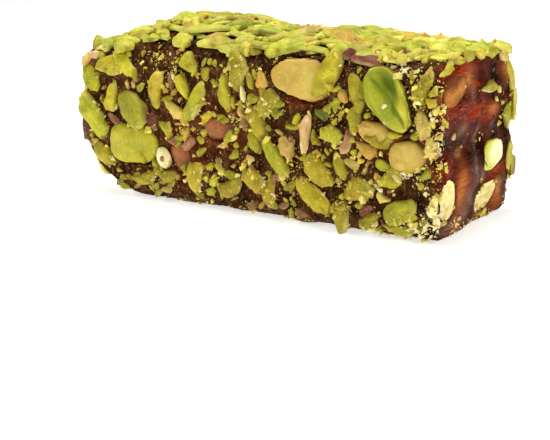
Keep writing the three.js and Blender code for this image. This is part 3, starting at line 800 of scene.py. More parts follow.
# The slopes of a piece's top along and across it, its curl, its crease and the crease's turn.
UNEVENNESS = [(-0.25, 0.25), (-0.3, 0.3), (-0.7, 0.5), (-0.25, 0.25), (-0.5, 0.5)]
SHARP_ANGLE = 48
# Crumbs: how narrow and how flat they are, and how far their corners reach.
CRUMB_RANGE = {"narrow": (0.45, 0.95), "flat": (0.3, 0.8), "reach": (0.5, 0.62)}
# The crumbs' shapes: how many corners each kind has, and how many shapes there are.
CRUMB_SHAPES = {"grain": (8, 10), "lump": (13, 20)}


def broken_straight(x, y, angle, depth, share, frayed=0):
    """An outline with what lies past a straight line taken off, but for a small share."""
    c, s = math.cos(angle), math.sin(angle)
    past = np.maximum(0, x * c + y * s - depth + frayed)
    return x - past * c * share, y - past * s * share


def piece_outline(form, count, draws):
    """An uneven closed outline within half a unit of the middle, broken straight in places."""
    angles = 2 * np.pi * (np.arange(count) + 0.5) / count
    power = 2 / form.power
    c, s = np.cos(angles), np.sin(angles)
    x = np.sign(c) * np.abs(c) ** power
    y = np.sign(s) * np.abs(s) ** power
    y = y * (1 - form.taper * x * draws.between(*TAPER_RANGE))
    y = y + form.bend * (2 * x * x - 1)
    for _ in range(form.breaks):
        angle, depth = 2 * math.pi * draws(), draws.between(*form.deep)
        x, y = broken_straight(x, y, angle, depth, BROKEN_OFF)
    reach = np.ones(count)
    for wave in EDGE_WAVES:
        reach += form.ragged * draws.between(-1, 1) * np.cos(wave * angles + PHASES * draws())
    x, y = x * reach, y * reach
    x, y = x - (x.max() + x.min()) / 2, y - (y.max() + y.min()) / 2
    return 0.5 * x / np.abs(x).max(), 0.5 * y / np.abs(y).max()


def piece_height(uneven, x, y, level, share):
    """How high a piece's surface is, about 1 on top, with its slopes, crease, dents and curl."""
    tip, side, curl, fold, turn = uneven
    crease = fold * math.hypot(y + turn * x, 0.08)
    dent = 0.24 * noise.noise(Vector((3.5 * x + 9 * tip, 3.5 * y + 7 * side, 5 * curl)))
    swell = DOME * (1 - share * share) - 0.1
    return level * (0.94 + swell + tip * x + side * y + crease + dent) + curl * (x * x - 0.08)


def make_shape(name, form, style, draws):
    count, rings = OUTLINE[style], RINGS[style]
    x, y = piece_outline(form, count, draws)
    cx, cy = x.mean(), y.mean()
    uneven = [draws.between(*span) for span in UNEVENNESS]
    points, rim = [], []
    for share, level, edge in rings:
        for i in range(count):
            px, py = cx + (x[i] - cx) * share, cy + (y[i] - cy) * share
            points.append((px, py, piece_height(uneven, px, py, level, share)))
            rim.append(edge)
    for level in (0, 1):
        points.append((cx, cy, piece_height(uneven, cx, cy, level, 0)))
        rim.append(0)
    mesh = mesh_from(name, points, shell_faces(len(rings), count))
    put_floats(mesh, rim=rim)
    mesh.set_sharp_from_angle(angle=math.radians(SHARP_ANGLE))
    return new_object(name, mesh)


def make_crumb(name, corners, draws):
    """A crumb: a broken bit about 1 across, with flat sides."""
    crumb = bmesh.new()
    narrow, flat = draws.between(*CRUMB_RANGE["narrow"]), draws.between(*CRUMB_RANGE["flat"])
    for _ in range(corners):
        way = Vector((draws.between(-1, 1), draws.between(-narrow, narrow), draws.between(-flat, flat)))
        crumb.verts.new(way * draws.between(*CRUMB_RANGE["reach"]))
    hull = bmesh.ops.convex_hull(crumb, input=crumb.verts)
    spare = [item for item in hull["geom_interior"] if isinstance(item, bmesh.types.BMVert)]
    bmesh.ops.delete(crumb, geom=spare, context="VERTS")
    mesh = bpy.data.meshes.new(name)
    crumb.to_mesh(mesh)
    crumb.free()
    return new_object(name, mesh)


def gathered(name, pieces):
    """Moves pieces out of the scene into a collection that Geometry Nodes picks from by number."""
    collection = bpy.data.collections.new(name)
    for piece in pieces:
        bpy.context.scene.collection.objects.unlink(piece)
        collection.objects.link(piece)
    return collection


def make_shapes(style):
    draws = Draws(SEED + 7)
    pieces = []
    for shape in [kind for kind in SHAPES for _ in range(VARIANTS)]:
        name = f"{style}_{len(pieces):02d}_{shape}"
        pieces.append(make_shape(name, FORMS[shape], style, draws))
    return gathered(f"{style} nut shapes", pieces)


def make_crumb_shapes(name):
    corners, count = CRUMB_SHAPES[name]
    draws = Draws(SEED + corners)
    return gathered(name, [make_crumb(f"{name}_{i:02d}", corners, draws) for i in range(count)])


# ---- Geometry Nodes

FULL_SPIN = (6.28, 6.28, 6.28)
SMALL_SKEW = 2.2             # the higher, the more of the crumbs are small
LAST_PICK = 40
TONE_SEED = 77


def add(tree, kind, links=None, **settings):
    """Adds a node, sets its own settings, and fills its inputs from sockets or plain values."""
    node = tree.nodes.new(kind)
    for name, value in settings.items():
        setattr(node, name, value)
    for name, value in (links or {}).items():
        socket = node.inputs[name]
        if isinstance(value, bpy.types.NodeSocket):
            tree.links.new(value, socket)
        else:
            socket.default_value = value
    return node


def new_tree(name, kind, inputs, outputs):
    tree = bpy.data.node_groups.new(name, kind)
    for label, socket_kind, *value in inputs:
        socket = tree.interface.new_socket(label, in_out="INPUT", socket_type=socket_kind)
        if value:
            socket.default_value = value[0]
    for label, socket_kind in outputs:
        tree.interface.new_socket(label, in_out="OUTPUT", socket_type=socket_kind)
    return tree, tree.nodes.new("NodeGroupInput").outputs, tree.nodes.new("NodeGroupOutput").inputs


def growing_tree(name, *sizes):
    """A tree that takes a surface or points, shapes to lay on it, its sizes and a finish."""
    inputs = [("Geometry", "NodeSocketGeometry"), ("Shapes", "NodeSocketCollection"), *sizes]
    inputs.append(("Finish", "NodeSocketMaterial"))
    return new_tree(name, "GeometryNodeTree", inputs, [("Geometry", "NodeSocketGeometry")])


def named(tree, name, kind):
    return add(tree, "GeometryNodeInputNamedAttribute", {"Name": name}, data_type=kind).outputs["Attribute"]


def calculated(tree, operation, *values, clamp=False):
    links = dict(enumerate(values))
    return add(tree, "ShaderNodeMath", links, operation=operation, use_clamp=clamp).outputs[0]


def times(tree, first, second):
    return calculated(tree, "MULTIPLY", first, second)


def plus(tree, first, second, clamp=False):
    return calculated(tree, "ADD", first, second, clamp=clamp)


def minus(tree, first, second):
    return calculated(tree, "SUBTRACT", first, second)


def chance(tree, kind, values):
    """A random value of one kind for each point or piece."""
    place = {"FLOAT_VECTOR": 0, "FLOAT": 1, "INT": 2}[kind]
    return add(tree, "FunctionNodeRandomValue", values, data_type=kind).outputs[place]


def laid_shapes(tree, collection, points, pick, rotation, scale):
    """One of a collection's shapes on each point, as instances."""
    shapes = add(tree, "GeometryNodeCollectionInfo", {
        "Collection": collection, "Separate Children": True, "Reset Children": True,
    })
    laid = add(tree, "GeometryNodeInstanceOnPoints", {
        "Points": points,
        "Instance": shapes.outputs["Instances"],
        "Pick Instance": True,
        "Instance Index": pick,
        "Rotation": rotation,
        "Scale": scale,
    })
    return laid.outputs["Instances"]


def hand_out(tree, instances, finish, result):
    """Ends a tree: the instances made real, with their finish."""
    real = add(tree, "GeometryNodeRealizeInstances", {"Geometry": instances})
    done = add(tree, "GeometryNodeSetMaterial", {
        "Geometry": real.outputs["Geometry"], "Material": finish,
    })
    tree.links.new(done.outputs["Geometry"], result["Geometry"])


def laying_tree():
    """Lays a shape on every point, turned, sized and picked by the point's attributes."""
    tree, given, result = growing_tree("lay pieces", ("Size", "NodeSocketFloat", 1.0))
    turn = add(tree, "FunctionNodeAxesToRotation", {
        "Primary Axis": named(tree, "out", "FLOAT_VECTOR"),
        "Secondary Axis": named(tree, "long", "FLOAT_VECTOR"),
    }, primary_axis="Z", secondary_axis="X")
    size = add(tree, "ShaderNodeVectorMath", {
        0: named(tree, "size", "FLOAT_VECTOR"), "Scale": given["Size"],
    }, operation="SCALE")
    laid = laid_shapes(
        tree, given["Shapes"], given["Geometry"], named(tree, "kind", "INT"),
        turn.outputs["Rotation"], size.outputs["Vector"],
    )
    hand_out(tree, laid, given["Finish"], result)
    return tree


def scattering_tree():
    """Scatters crumbs over a surface, thickest where its "crumbs" attribute is high."""
    tree, given, result = growing_tree(
        "scatter crumbs",
        ("Per Square Metre", "NodeSocketFloat", 1e6),
        ("Smallest", "NodeSocketFloat", 0.0003),
        ("Largest", "NodeSocketFloat", 0.001),
        ("Seed", "NodeSocketInt", 1),
    )
    seed = given["Seed"]
    density = times(tree, named(tree, "crumbs", "FLOAT"), given["Per Square Metre"])
    spread = add(tree, "GeometryNodeDistributePointsOnFaces", {
        "Mesh": given["Geometry"], "Density": density, "Seed": seed,
    }, distribute_method="RANDOM")
    size = add(tree, "ShaderNodeMapRange", {
        "Value": calculated(tree, "POWER", chance(tree, "FLOAT", {"Seed": seed}), SMALL_SKEW),
        "To Min": given["Smallest"],
        "To Max": given["Largest"],
    })
    turned = add(tree, "FunctionNodeRotateRotation", {
        "Rotation": spread.outputs["Rotation"],
        "Rotate By": chance(tree, "FLOAT_VECTOR", {"Max": FULL_SPIN, "Seed": seed}),
    }, rotation_space="LOCAL")
    laid = laid_shapes(
        tree, given["Shapes"], spread.outputs["Points"],
        chance(tree, "INT", {"Max": LAST_PICK, "Seed": seed}),
        turned.outputs["Rotation"], size.outputs["Result"],
    )
    toned = add(tree, "GeometryNodeStoreNamedAttribute", {
        "Geometry": laid, "Name": "tone", "Value": chance(tree, "FLOAT", {"Seed": TONE_SEED}),
    }, data_type="FLOAT", domain="INSTANCE")
    hand_out(tree, toned.outputs["Geometry"], given["Finish"], result)
    return tree


def grown(name, source, tree, values):
    """Runs a Geometry Nodes tree on an object and keeps its result as a plain mesh."""
    modifier = source.modifiers.new("grow", "NODES")
    modifier.node_group = tree
    for socket in tree.interface.items_tree:
        if socket.item_type == "SOCKET" and socket.in_out == "INPUT" and socket.name in values:
            modifier[socket.identifier] = values[socket.name]
    source.update_tag()
    bpy.context.view_layer.update()
    evaluated = source.evaluated_get(bpy.context.evaluated_depsgraph_get())
    mesh = bpy.data.meshes.new_from_object(evaluated)
    mesh.name = name
    bpy.data.objects.remove(source)
    return new_object(name, mesh)


# ---- Slivers, flakes and chips

FILL_TRIES = 12
FILL_TILT = {"top": 17, "sides": 12}
KERNEL_ROOM = 0.92           # how near extra pieces may come to the kernels
SLIVER_ROOM = 0.6            # and to the large slivers
CHIP_TILT = 10
CHIP_THICKNESS = (0.9, 1.4)
# Along the top the lift of a piece grows from none, and is mostly lost again near the cut end.
TOP_LIFT = {"from": -43, "full": -30, "falls": 24, "low": 42, "lost": 0.8}
SHADES = (0.84, 1.12)
WARMER = (-0.06, 0.06)
MILKINESS = (0.3, 1.1)       # how much blue the green pieces of the sides keep
OTHER_TONES = (1.1, 1.1, 1.1)
# Painted light: on top the pieces grow lighter towards the cut end. Painted shade: elsewhere they grow
# darker near the board.
TOP_LIGHT = {"from": 15, "to": 44, "gain": 0.14}
FOOT_SHADE = {"from": 1, "to": 8, "least": 0.7, "gain": 0.3}


def fill_pieces(laid):
    """Extra flakes and chips between the large slivers."""
    draws = Draws(SEED + 3)
    kernels = kernel_spots()
    pieces = []
    for face, count, lengths, widths, thick, lifted, closeness in FILL:
        tilt = FILL_TILT["top" if face == "top" else "sides"]
        mine = []
        for _ in range(count * FILL_TRIES):
            if len(mine) >= count:
                break
            piece = chance_piece(draws, face, MARGINS[face], lengths, widths)
            piece["thick"] = draws.between(*thick)
            piece["lift"] = lifted * draws()
            piece |= leaning(draws, tilt)
            piece["shape"], piece["tint"] = draws.pick(SHAPES), draws.pick(FLAKE_MIX[face])
            if not is_free(piece, kernels, KERNEL_ROOM) or not is_free(piece, mine, closeness):
                continue
            if face == "top" or is_free(piece, laid, SLIVER_ROOM):
                mine.append(piece)
        pieces += mine
    return pieces


def placed_chips():
    draws = Draws(SEED + 4)
    pieces = []
    for face, rows in CHIPS:
        for first, second, length, width, turn, shape, tint, *lift in rows:
            piece = flat_piece(face, (first, second), length, width, turn)
            piece |= {"shape": shape, "tint": tint, "lift": sum(lift)}
            piece["thick"] = draws.between(*CHIP_THICKNESS)
            pieces.append(piece | leaning(draws, CHIP_TILT))
    return pieces


def height_over(piece):
    """How far the kernel under a piece stands out of the jelly there, if there is one."""
    most = 0
    for kernel in KERNELS:
        if kernel.face != piece["face"]:
            continue
        u, v = place_on(kernel.face, *kernel.place)
        angle = math.radians(kernel.turn)
        first, second = piece["u"] - u, piece["v"] - v
        half_length, half_width, rise = half_sizes(kernel)
        a = (first * math.cos(angle) + second * math.sin(angle)) / half_length
        b = (second * math.cos(angle) - first * math.sin(angle)) / half_width
        if a * a + b * b < 1:
            dome = rise * INNER_DOME if kernel.inner else rise
            most = max(most, kernel.lift + dome * math.sqrt(1 - a * a - b * b))
    return most


def lift_share(face, x):
    """How much of its lift a piece keeps: all of it, but on top less towards both ends."""
    if face != "top":
        return 1
    lost = TOP_LIFT["lost"] * smooth(TOP_LIFT["falls"], TOP_LIFT["low"], x)
    return float(smooth(TOP_LIFT["from"], TOP_LIFT["full"], x) * (1 - lost))


def lit_tint(piece, at, draws):
    """A piece's colour, a little lighter or darker and warmer or cooler by chance, with painted light on
    top towards the cut end and painted shade near the board.
    """
    shade, warm = draws.between(*SHADES), draws.between(*WARMER)
    own_tones = SIDE_TONES.get(piece["face"], (1, 1, draws.between(*MILKINESS)))
    reds, greens, blues = own_tones if piece["tint"] in GREENS else OTHER_TONES
    if piece["face"] == "top":
        shade *= 1 + TOP_LIGHT["gain"] * float(smooth(TOP_LIGHT["from"], TOP_LIGHT["to"], at[0]))
    else:
        lit = float(smooth(FOOT_SHADE["from"], FOOT_SHADE["to"], at[2]))
        shade *= FOOT_SHADE["least"] + FOOT_SHADE["gain"] * lit
    red, green, blue, _ = TINTS[piece["tint"]]
    red, green = red * reds * (1 + warm), green * greens * (1 - warm)
    return red * shade, green * shade, blue * blues * shade, 1


def laid_points(name, pieces, seed):
    """A point for each piece, with how it lies, its size, its shape and its colour."""
    draws = Draws(seed)
    points, outs, longs, sizes, kinds, tints = [], [], [], [], [], []
    for piece in pieces:
        face, thick = piece["face"], piece["thick"]
        at, long, side, out = surface_frame(face, piece["u"], piece["v"], piece["turn"], SLIVER_LEVEL)
        sink = thick * SLIVER_SINK - (REST_PUSH if face == "bottom" else 0)
        sink -= piece.get("lift", 0) * lift_share(face, at[0]) + height_over(piece)
        points.append((at - out * sink) * MM)
        outs.append(unit(out - long * piece["pitch"] - side * piece["roll"]))
        longs.append(long * draws.pick((-1, 1)))
        sizes.append(np.array([piece["length"], piece["width"], thick]) * MM)
        kinds.append(SHAPES.index(piece["shape"]) * VARIANTS + int(draws() * VARIANTS))
        tints.append(lit_tint(piece, at, draws))
    mesh = mesh_from(name, points, [])
    for label, values in {"out": outs, "long": longs, "size": sizes}.items():
        put_attribute(mesh, label, "FLOAT_VECTOR", values)
    put_attribute(mesh, "kind", "INT", kinds)
    put_attribute(mesh, "tint", "FLOAT_COLOR", tints)
    return new_object(name, mesh)


def pressed(piece):
    """Nothing stands outside the press or below the board, and the knife ends what it crosses."""
    points = vertex_array(piece.data) / MM
    points[:, 0] = np.clip(points[:, 0], -LENGTH / 2 - VISUAL_ROOM, LENGTH / 2)
    points[:, 1] = np.clip(points[:, 1], -DEPTH / 2 - VISUAL_ROOM, DEPTH / 2 + VISUAL_ROOM)
    points[:, 2] = np.maximum(points[:, 2], 0)
    set_vertices(piece.data, points * MM)
    return piece


def make_pieces(name, pieces, shapes, tree, finish, seed):
    points = laid_points(name, pieces, seed)
    piece = grown(name, points, tree, {"Shapes": shapes, "Size": 1.0, "Finish": finish})
    piece.data.shade_smooth()
    return pressed(piece)


# ---- Crumbs

# Where crumbs cling in heaps: along or across, up, half length and half height.
CRUMB_HEAPS = {
    "front": [
        (36.5, 33.4, 3.4, 1.8), (41, 31.4, 2.4, 1.6), (32, 33.6, 3, 1.1), (41.6, 27, 1.8, 2.4),
        (43.8, 22, 1.2, 4), (41.8, 14.6, 2.2, 2), (38.6, 14.2, 3, 1.4), (43.4, 6.8, 1.6, 3.2),
        (40, 3.6, 5, 2.2), (33.6, 2.6, 3.4, 1.4), (30, 11.8, 3.4, 1.5), (27.6, 16.4, 2.4, 1.6),
        (24.6, 10, 1.8, 1.6), (22.4, 17.6, 2.6, 1.6), (20.8, 23, 2.2, 1.4), (23.4, 24.6, 1.4, 1.8),
        (19, 15.4, 1.8, 1.6), (12.6, 14, 2, 1.8), (13.2, 10.4, 1.8, 1.4), (7.4, 25.6, 2.6, 1.6),
        (1.6, 24.4, 2, 2.2), (-0.2, 31.4, 3.4, 1.5), (-2.4, 20.6, 1.8, 2.4), (-8, 21, 2, 1.8),
        (-17.6, 30.2, 2.6, 1.4), (-22, 32.6, 4, 1), (-14.2, 18, 2.2, 1.4), (-9, 8.6, 2.6, 1.8),
        (0.6, 12, 2, 1.6), (7.8, 6.4, 1.8, 1.6), (-25.6, 16.6, 1.8, 1.4), (-33.6, 30, 2.2, 1.2),
        (24.4, 5.8, 2, 1.4), (44.6, 29.4, 2.1, 3.6), (44.8, 10.2, 1.1, 1.8),
    ],
    "right": [
        (-10, 3.6, 3, 1.6), (4, 2, 5, 1.2), (14.6, 4, 2.4, 2.4), (-17, 9, 1.3, 2.2),
        (-16.6, 20.4, 1.3, 6), (-16.6, 5.4, 1.6, 3.6), (2.6, 9.2, 1.2, 1.2), (13, 24, 1.8, 2.4),
        (14.4, 31.4, 2.2, 2.4),
    ],
    "back": [(40, 18, 3, 8)],
}
# Where those crumbs are pale, the same way.
PALE_HEAPS = {
    "front": [
        (44.4, 19.4, 1, 2), (44.2, 26, 0.9, 1), (42.8, 5, 1.8, 2.2), (40, 2.6, 5, 1.4),
        (42.6, 10.6, 1.2, 1), (36.5, 34.2, 4, 1.2), (38.6, 13.6, 2.6, 1), (33.6, 10.6, 3, 1),
    ],
    "right": [(-9, 2.6, 5, 1.6), (-17.2, 20, 1.1, 2.4), (-17, 5.6, 1.4, 3.4)],
}
HEAP_GAIN = 1.6
# How thickly crumbs lie anywhere and in patches, in heaps, at the cut's front corner, along the
# front's upper edge, at the back corner and along the foot.
CRUMB_SHARES = {
    "anywhere": 0.012, "patches": 0.07, "heaps": 1.1, "corner": 0.9, "rim": 0.4, "back": 0.7,
    "foot": 0.35,
}
# How wide those edges are, and where along the bar the crumbs of some of them start and are full.
EDGE_WIDTHS = {"corner": (1.6, 1.5), "rim": 1.4, "back": 1.3, "foot": 1.3}
EDGE_SPANS = {"back": (40, 45), "foot": (-20, 10), "few": (-25, 8)}
RIM_GAIN = 1.3
FOOT_HEIGHT = 1.4
FEW_SHARE = {"left": 0.4, "more": 0.6}
CLUMPED = {"least": 0.25, "more": 0.75, "crumbs": 0.35, "crust": 0.5}
TOP_BARE = 0.6               # how much barer the top is of crumbs
CUT_BARE = {"share": 0.85, "band": (2.5, 0.5), "foot": 0.8}
CRUST = {"gain": 1.4, "from": 0.35}


def heaped(points, normals, heaps):
    """1 in the middle of any of the heaps, falling to nothing past its edge."""
    x, y, z = points.T
    most = np.zeros(len(points))
    for face, spots in heaps.items():
        first = x if FACES[face]["u"][0] else y
        towards = facing(normals, face, HEAP_GAIN)
        for spot in spots:
            most = np.maximum(most, bump_at(first, z, spot) * towards)
    return most


def crumb_density(points, normals):
    """How thickly crumbs lie, from 0 to 1: in heaps, along the edges and on every side a few."""
    x, y, z = points.T
    share, width, span = CRUMB_SHARES, EDGE_WIDTHS, EDGE_SPANS
    patchy = np.clip(relief("crumb patches", points), 0, 1)
    clumped = np.clip(relief("crumb clumps", points) + CLUMPED["crumbs"], 0, 1)
    start, full = CUT_BARE["band"]
    cut = smooth(JELLY_RIGHT - start, JELLY_RIGHT - full, x) * facing(normals, "right")
    corner_x, corner_y = width["corner"]
    corner = bell((x - JELLY_RIGHT) / corner_x, (y + JELLY_HALF_DEPTH) / corner_y)
    rim = bell((z - JELLY_TOP) / width["rim"]) * facing(normals, "front", RIM_GAIN)
    back = bell((y - JELLY_HALF_DEPTH) / width["back"]) * smooth(*span["back"], x) * share["back"]
    foot = bell((z - FOOT_HEIGHT) / width["foot"]) * smooth(*span["foot"], x)
    few = FEW_SHARE["left"] + FEW_SHARE["more"] * smooth(*span["few"], x)
    total = (share["anywhere"] + share["patches"] * patchy) * few
    total = total + share["heaps"] * heaped(points, normals, CRUMB_HEAPS) + share["corner"] * corner
    total = total + share["rim"] * rim * patchy + back + share["foot"] * foot * patchy
    total = total * (CLUMPED["least"] + CLUMPED["more"] * clumped)
    bare = CUT_BARE["share"] * cut * np.clip(1 - corner - CUT_BARE["foot"] * foot, 0, 1)
    return np.clip(total * (1 - TOP_BARE * facing(normals, "top")) * (1 - bare), 0, 1)


def crust_density(points, normals):
    """Where the crumbs cake into a pale crust, from 0 to 1."""
    clumped = np.clip(relief("crust clumps", points) + CLUMPED["crust"], 0, 1)
    pale = heaped(points, normals, PALE_HEAPS)
    return np.clip(pale * CRUST["gain"] - CRUST["from"], 0, 1) * clumped


# Crumbs: name, where they lie, their shapes, how many to a square millimetre where they lie
# thickest, smallest and largest size, and seed.
CRUMBS = [
    ("nut_crumbs", crumb_density, "lump", 2.0, (0.5, 2.0), 5),
    ("nut_crust", crust_density, "lump", 3.0, (0.4, 1.5), 8),
    ("nut_dust", crumb_density, "grain", 4.0, (0.25, 0.8), 6),
]


def crumb_ground(parts, density):
    """What crumbs fall on: the jelly and the slivers as one surface."""
    bpy.ops.object.select_all(action="DESELECT")
    copies = []
    for part in parts:
        copy = new_object("ground", part.data.copy())
        copy.select_set(True)
        copies.append(copy)
    bpy.context.view_layer.objects.active = copies[0]
    bpy.ops.object.join()
    ground = copies[0]
    points, normals = vertex_array(ground.data) / MM, vertex_array(ground.data, "normal")
    put_floats(ground.data, crumbs=density(points, normals), pale=heaped(points, normals, PALE_HEAPS))
    return ground


def make_crumbs(row, parts, shapes, tree, finish):
    name, density, kind, per_mm2, (smallest, largest), seed = row
    piece = grown(name, crumb_ground(parts, density), tree, {
        "Shapes": shapes[kind], "Per Square Metre": per_mm2 / MM**2,
        "Smallest": smallest * MM, "Largest": largest * MM, "Seed": seed, "Finish": finish,
    })
    return pressed(piece)


# ---- Kernels

KERNEL_SIDES = 64
KERNEL_RINGS = 44
# How far each finish's kernel is from an egg: squareness seen from outside, and flatness of its face.
KERNEL_FORMS = {
    "olive": (2.7, 3.4), "tan": (2.2, 3.6), "amber": (2.2, 3.0), "brown": (2.1, 2.6),
    "green": (2.2, 2.0), "pale": (2.2, 2.0), "cream": (2.3, 2.0),
}
SQUARED_FIT = 0.97           # keeps a squared kernel within its size
KERNEL_BROKEN_OFF = 0.92
FOLDS_ALONG = [0.5, 1, 1]    # the skin's wrinkles run along the kernel
SMOOTH_INSIDE = 0.4
KERNEL_OFF_KNIFE = 0.1       # how far kernels stay behind the knife's plane
DEEPEST_CUT = {"kernel_cut_corner": 6}
PALE_GRAIN = 0.1             # how much smoother the wet pale kernel is cut
SQUEEZE = 1                  # the last millimetre, into which whole kernels are pressed by the knife


def unit_egg():
    """A closed ball of rings round the X axis, as points and faces."""
    points = []
    for i in range(1, KERNEL_RINGS):
        polar = math.pi * i / KERNEL_RINGS
        for j in range(KERNEL_SIDES):
            angle = 2 * math.pi * j / KERNEL_SIDES
            ring = math.sin(polar)
            points.append((math.cos(polar), ring * math.cos(angle), ring * math.sin(angle)))
    points += [(1, 0, 0), (-1, 0, 0)]
    return np.array(points), shell_faces(KERNEL_RINGS - 1, KERNEL_SIDES, turned=True)


def squared(first, second, power):
    """How much further out a round outline's point lies when the outline is squarer."""
    most = np.maximum(np.hypot(first, second), TINY)
    first, second = np.abs(first) / most, np.abs(second) / most
    return 1 / (first**power + second**power) ** (1 / power)


def kernel_body(kernel, p, number):
    """How far along, sideways and outwards each point of the egg lies in this kernel."""
    half_length, half_width, rise = half_sizes(kernel)
    square, flat = KERNEL_FORMS[kernel.finish]
    taper = 1 - KERNEL_TAPER * p[:, 0]
    flatter = squared(np.hypot(p[:, 0], p[:, 1]), p[:, 2], flat)
    spread = squared(p[:, 0], p[:, 1], square) * flatter * SQUARED_FIT
    uneven = 1 + relief("kernel form", p * [1, 1, 0.3], number)
    along = p[:, 0] * spread * uneven * half_length
    sideways = p[:, 1] * spread * uneven * taper * half_width
    outward = p[:, 2] * flatter * taper * rise
    whole = np.stack([along, sideways, 0 * along], axis=1)
    for angle, most in KERNEL_BREAKS.get(kernel.node, []):
        frayed = relief("frayed break", whole, number)
        away = math.radians(angle)
        along, sideways = broken_straight(along, sideways, away, most, KERNEL_BROKEN_OFF, frayed)
    return along, sideways, outward


def opened_face(a, b):
    """The inner face of a half kernel: a smooth lobe along one side and a hollow beside it, and where the
    hollow and a crack are, for painted shade.
    """
    reach = a * a + b * b
    lobe = 1.7 * bell((b + 0.4 + 0.2 * a) / 0.34)
    hollow = bell((a + 0.3) / 0.46, (b - 0.36 + 0.1 * a) / 0.27)
    crack = bell((b - 0.06 + 0.2 * a * a) / 0.08) * smooth(0.95, 0.4, reach)
    fold = 1.3 * bell((a - 0.42) / 0.24, (b - 0.4) / 0.26)
    rim = 0.7 * bell((1 - reach) / 0.14) * smooth(-0.1, 0.3, b)
    height = 0.5 * (1 - reach) + lobe * (1 - reach**2) - 1.4 * hollow - 0.8 * crack
    height = height + fold * (1 - reach**3) + rim
    return height, np.clip(hollow * 1.1 + 0.6 * crack, 0, 1)


def half_opened(kernel, p, outward):
    """The outward places with an opened face where there is one, how far inside it is, and how deep in its
    hollow and crack, which get painted shade.
    """
    if not kernel.inner:
        return outward, np.zeros(len(p)), np.zeros(len(p))
    upper = p[:, 2] > 0
    height, hollow = opened_face(p[:, 0], p[:, 1])
    inside = np.where(upper, smooth(1.0, 0.9, p[:, 0] ** 2 + p[:, 1] ** 2), 0)
    return np.where(upper, height, outward), inside, np.where(upper, hollow, 0)


def cut_grain(kernel, points, p, number):
    """How far the cut flesh is torn in: rough and split, but nearly smooth in the wet pale kernel."""
    grains = np.abs(relief("cut grain", points, number)) + 0.3 * (1 + relief("cut patches", points))
    if kernel.finish == "pale":
        return PALE_GRAIN * grains
    split = bell((p[:, 1] + 0.2 * np.sin(5 * p[:, 0] + number) - 0.1) / 0.12)
    rows = 1 + np.sin(8 * p[:, 0] + 3 * np.sin(5 * p[:, 1] + number))
    return grains + (0.5 * split + 0.3 * rows)


def cut_across(kernel, points, p, number):
    """Moves the points that the knife cut, and tells how far each is in the cut, from 0 to 1."""
    edge = LENGTH / 2 - KERNEL_OFF_KNIFE
    cut = np.zeros(len(p))
    if kernel.slot == "cut":
        start = edge - DEEPEST_CUT.get(kernel.node, 1)
        cut = smooth(start - 0.5, start + 0.5, points[:, 0] + relief("frayed cut", points, number))
        bitten = smooth(edge - 0.3, edge + 0.1, points[:, 0])
        grains = cut_grain(kernel, points, p, number)
        points[:, 0] = np.minimum(points[:, 0], edge) - bitten * grains
    over = np.maximum(0, points[:, 0] - (edge - SQUEEZE))
    points[:, 0] = np.minimum(points[:, 0], edge - SQUEEZE) + SQUEEZE - np.exp(-over)
    points[:, 0] = np.clip(points[:, 0], -LENGTH / 2, edge)
    points[:, 1] = np.clip(points[:, 1], -DEPTH / 2 - VISUAL_ROOM, DEPTH / 2 + VISUAL_ROOM)
    return cut


def make_kernel(kernel, materials, number):
    """An egg, a little pointed at one end, squared, flattened, opened or cut as its kind is."""
    p, faces = unit_egg()
    along, sideways, outward = kernel_body(kernel, p, number)
    outward, inside, deep = half_opened(kernel, p, outward)
    local = np.stack([along, sideways, outward], axis=1)
    mesh = mesh_from(kernel.node.replace("kernel", "nut"), local, faces)
    wrinkles = relief("kernel wrinkles", local * FOLDS_ALONG, number) * (1 - SMOOTH_INSIDE * inside)
    lumps = relief("kernel lumps", local, number)
    local = local + vertex_array(mesh, "normal") * (wrinkles + lumps)[:, None]
    local[:, 2] += kernel.lift
    a, b, c = local.T
    middle, long, side, out = kernel_frame(kernel)
    points = middle + np.outer(a, long) + np.outer(b, side) + np.outer(c, out)
    cut = cut_across(kernel, points, p, number)
    set_vertices(mesh, points * MM)
    # deep: the opened face's hollow and crack, which the green finish paints in shade
    put_floats(mesh, inside=inside, deep=deep, cut=cut, height=c)
    put_attribute(mesh, "place", "FLOAT_VECTOR", p)
    mesh.shade_smooth()
    mesh.materials.append(materials[kernel.finish])
    own(new_object(mesh.name, mesh), kernel.node)


# ---- Shader parts

def mixed(tree, share, first, second, blend="MIX"):
    links = {0: share, 6: first, 7: second}
    return add(tree, "ShaderNodeMix", links, data_type="RGBA", blend_type=blend).outputs[2]


def blended(tree, share, first, second):
    return add(tree, "ShaderNodeMix", {0: share, 2: first, 3: second}, data_type="FLOAT").outputs[0]


def ramp(tree, value, stops):
    node = add(tree, "ShaderNodeValToRGB", {0: value})
    line = node.color_ramp.elements
    line[0].position, line[0].color = stops[0]
    line[1].position, line[1].color = stops[-1]
    for position, colour in stops[1:-1]:
        line.new(position).color = colour
    return node.outputs[0]


def remapped(tree, value, low, high, to_low=0.0, to_high=1.0):
    node = add(tree, "ShaderNodeMapRange", {
        0: value, "From Min": low, "From Max": high, "To Min": to_low, "To Max": to_high,
    })
    return node.outputs[0]


def noise_in(tree, place, scale, detail=3.0, roughness=0.5, distortion=0.0):
    node = add(tree, "ShaderNodeTexNoise", {
        "Vector": place, "Scale": scale, "Detail": detail, "Roughness": roughness,
        "Distortion": distortion,
    })
    return node.outputs[0]


def attribute(tree, name, output="Fac"):
    return add(tree, "ShaderNodeAttribute", attribute_name=name).outputs[output]


def object_place(tree, stretch=(1, 1, 1)):
    place = add(tree, "ShaderNodeTexCoord").outputs["Object"]
    return add(tree, "ShaderNodeMapping", {"Vector": place, "Scale": stretch}).outputs[0]


def group_node(tree, group, values):
    node = tree.nodes.new("ShaderNodeGroup")
    node.node_tree = group
    for name, value in values.items():
        node.inputs[name].default_value = value
    return node.outputs


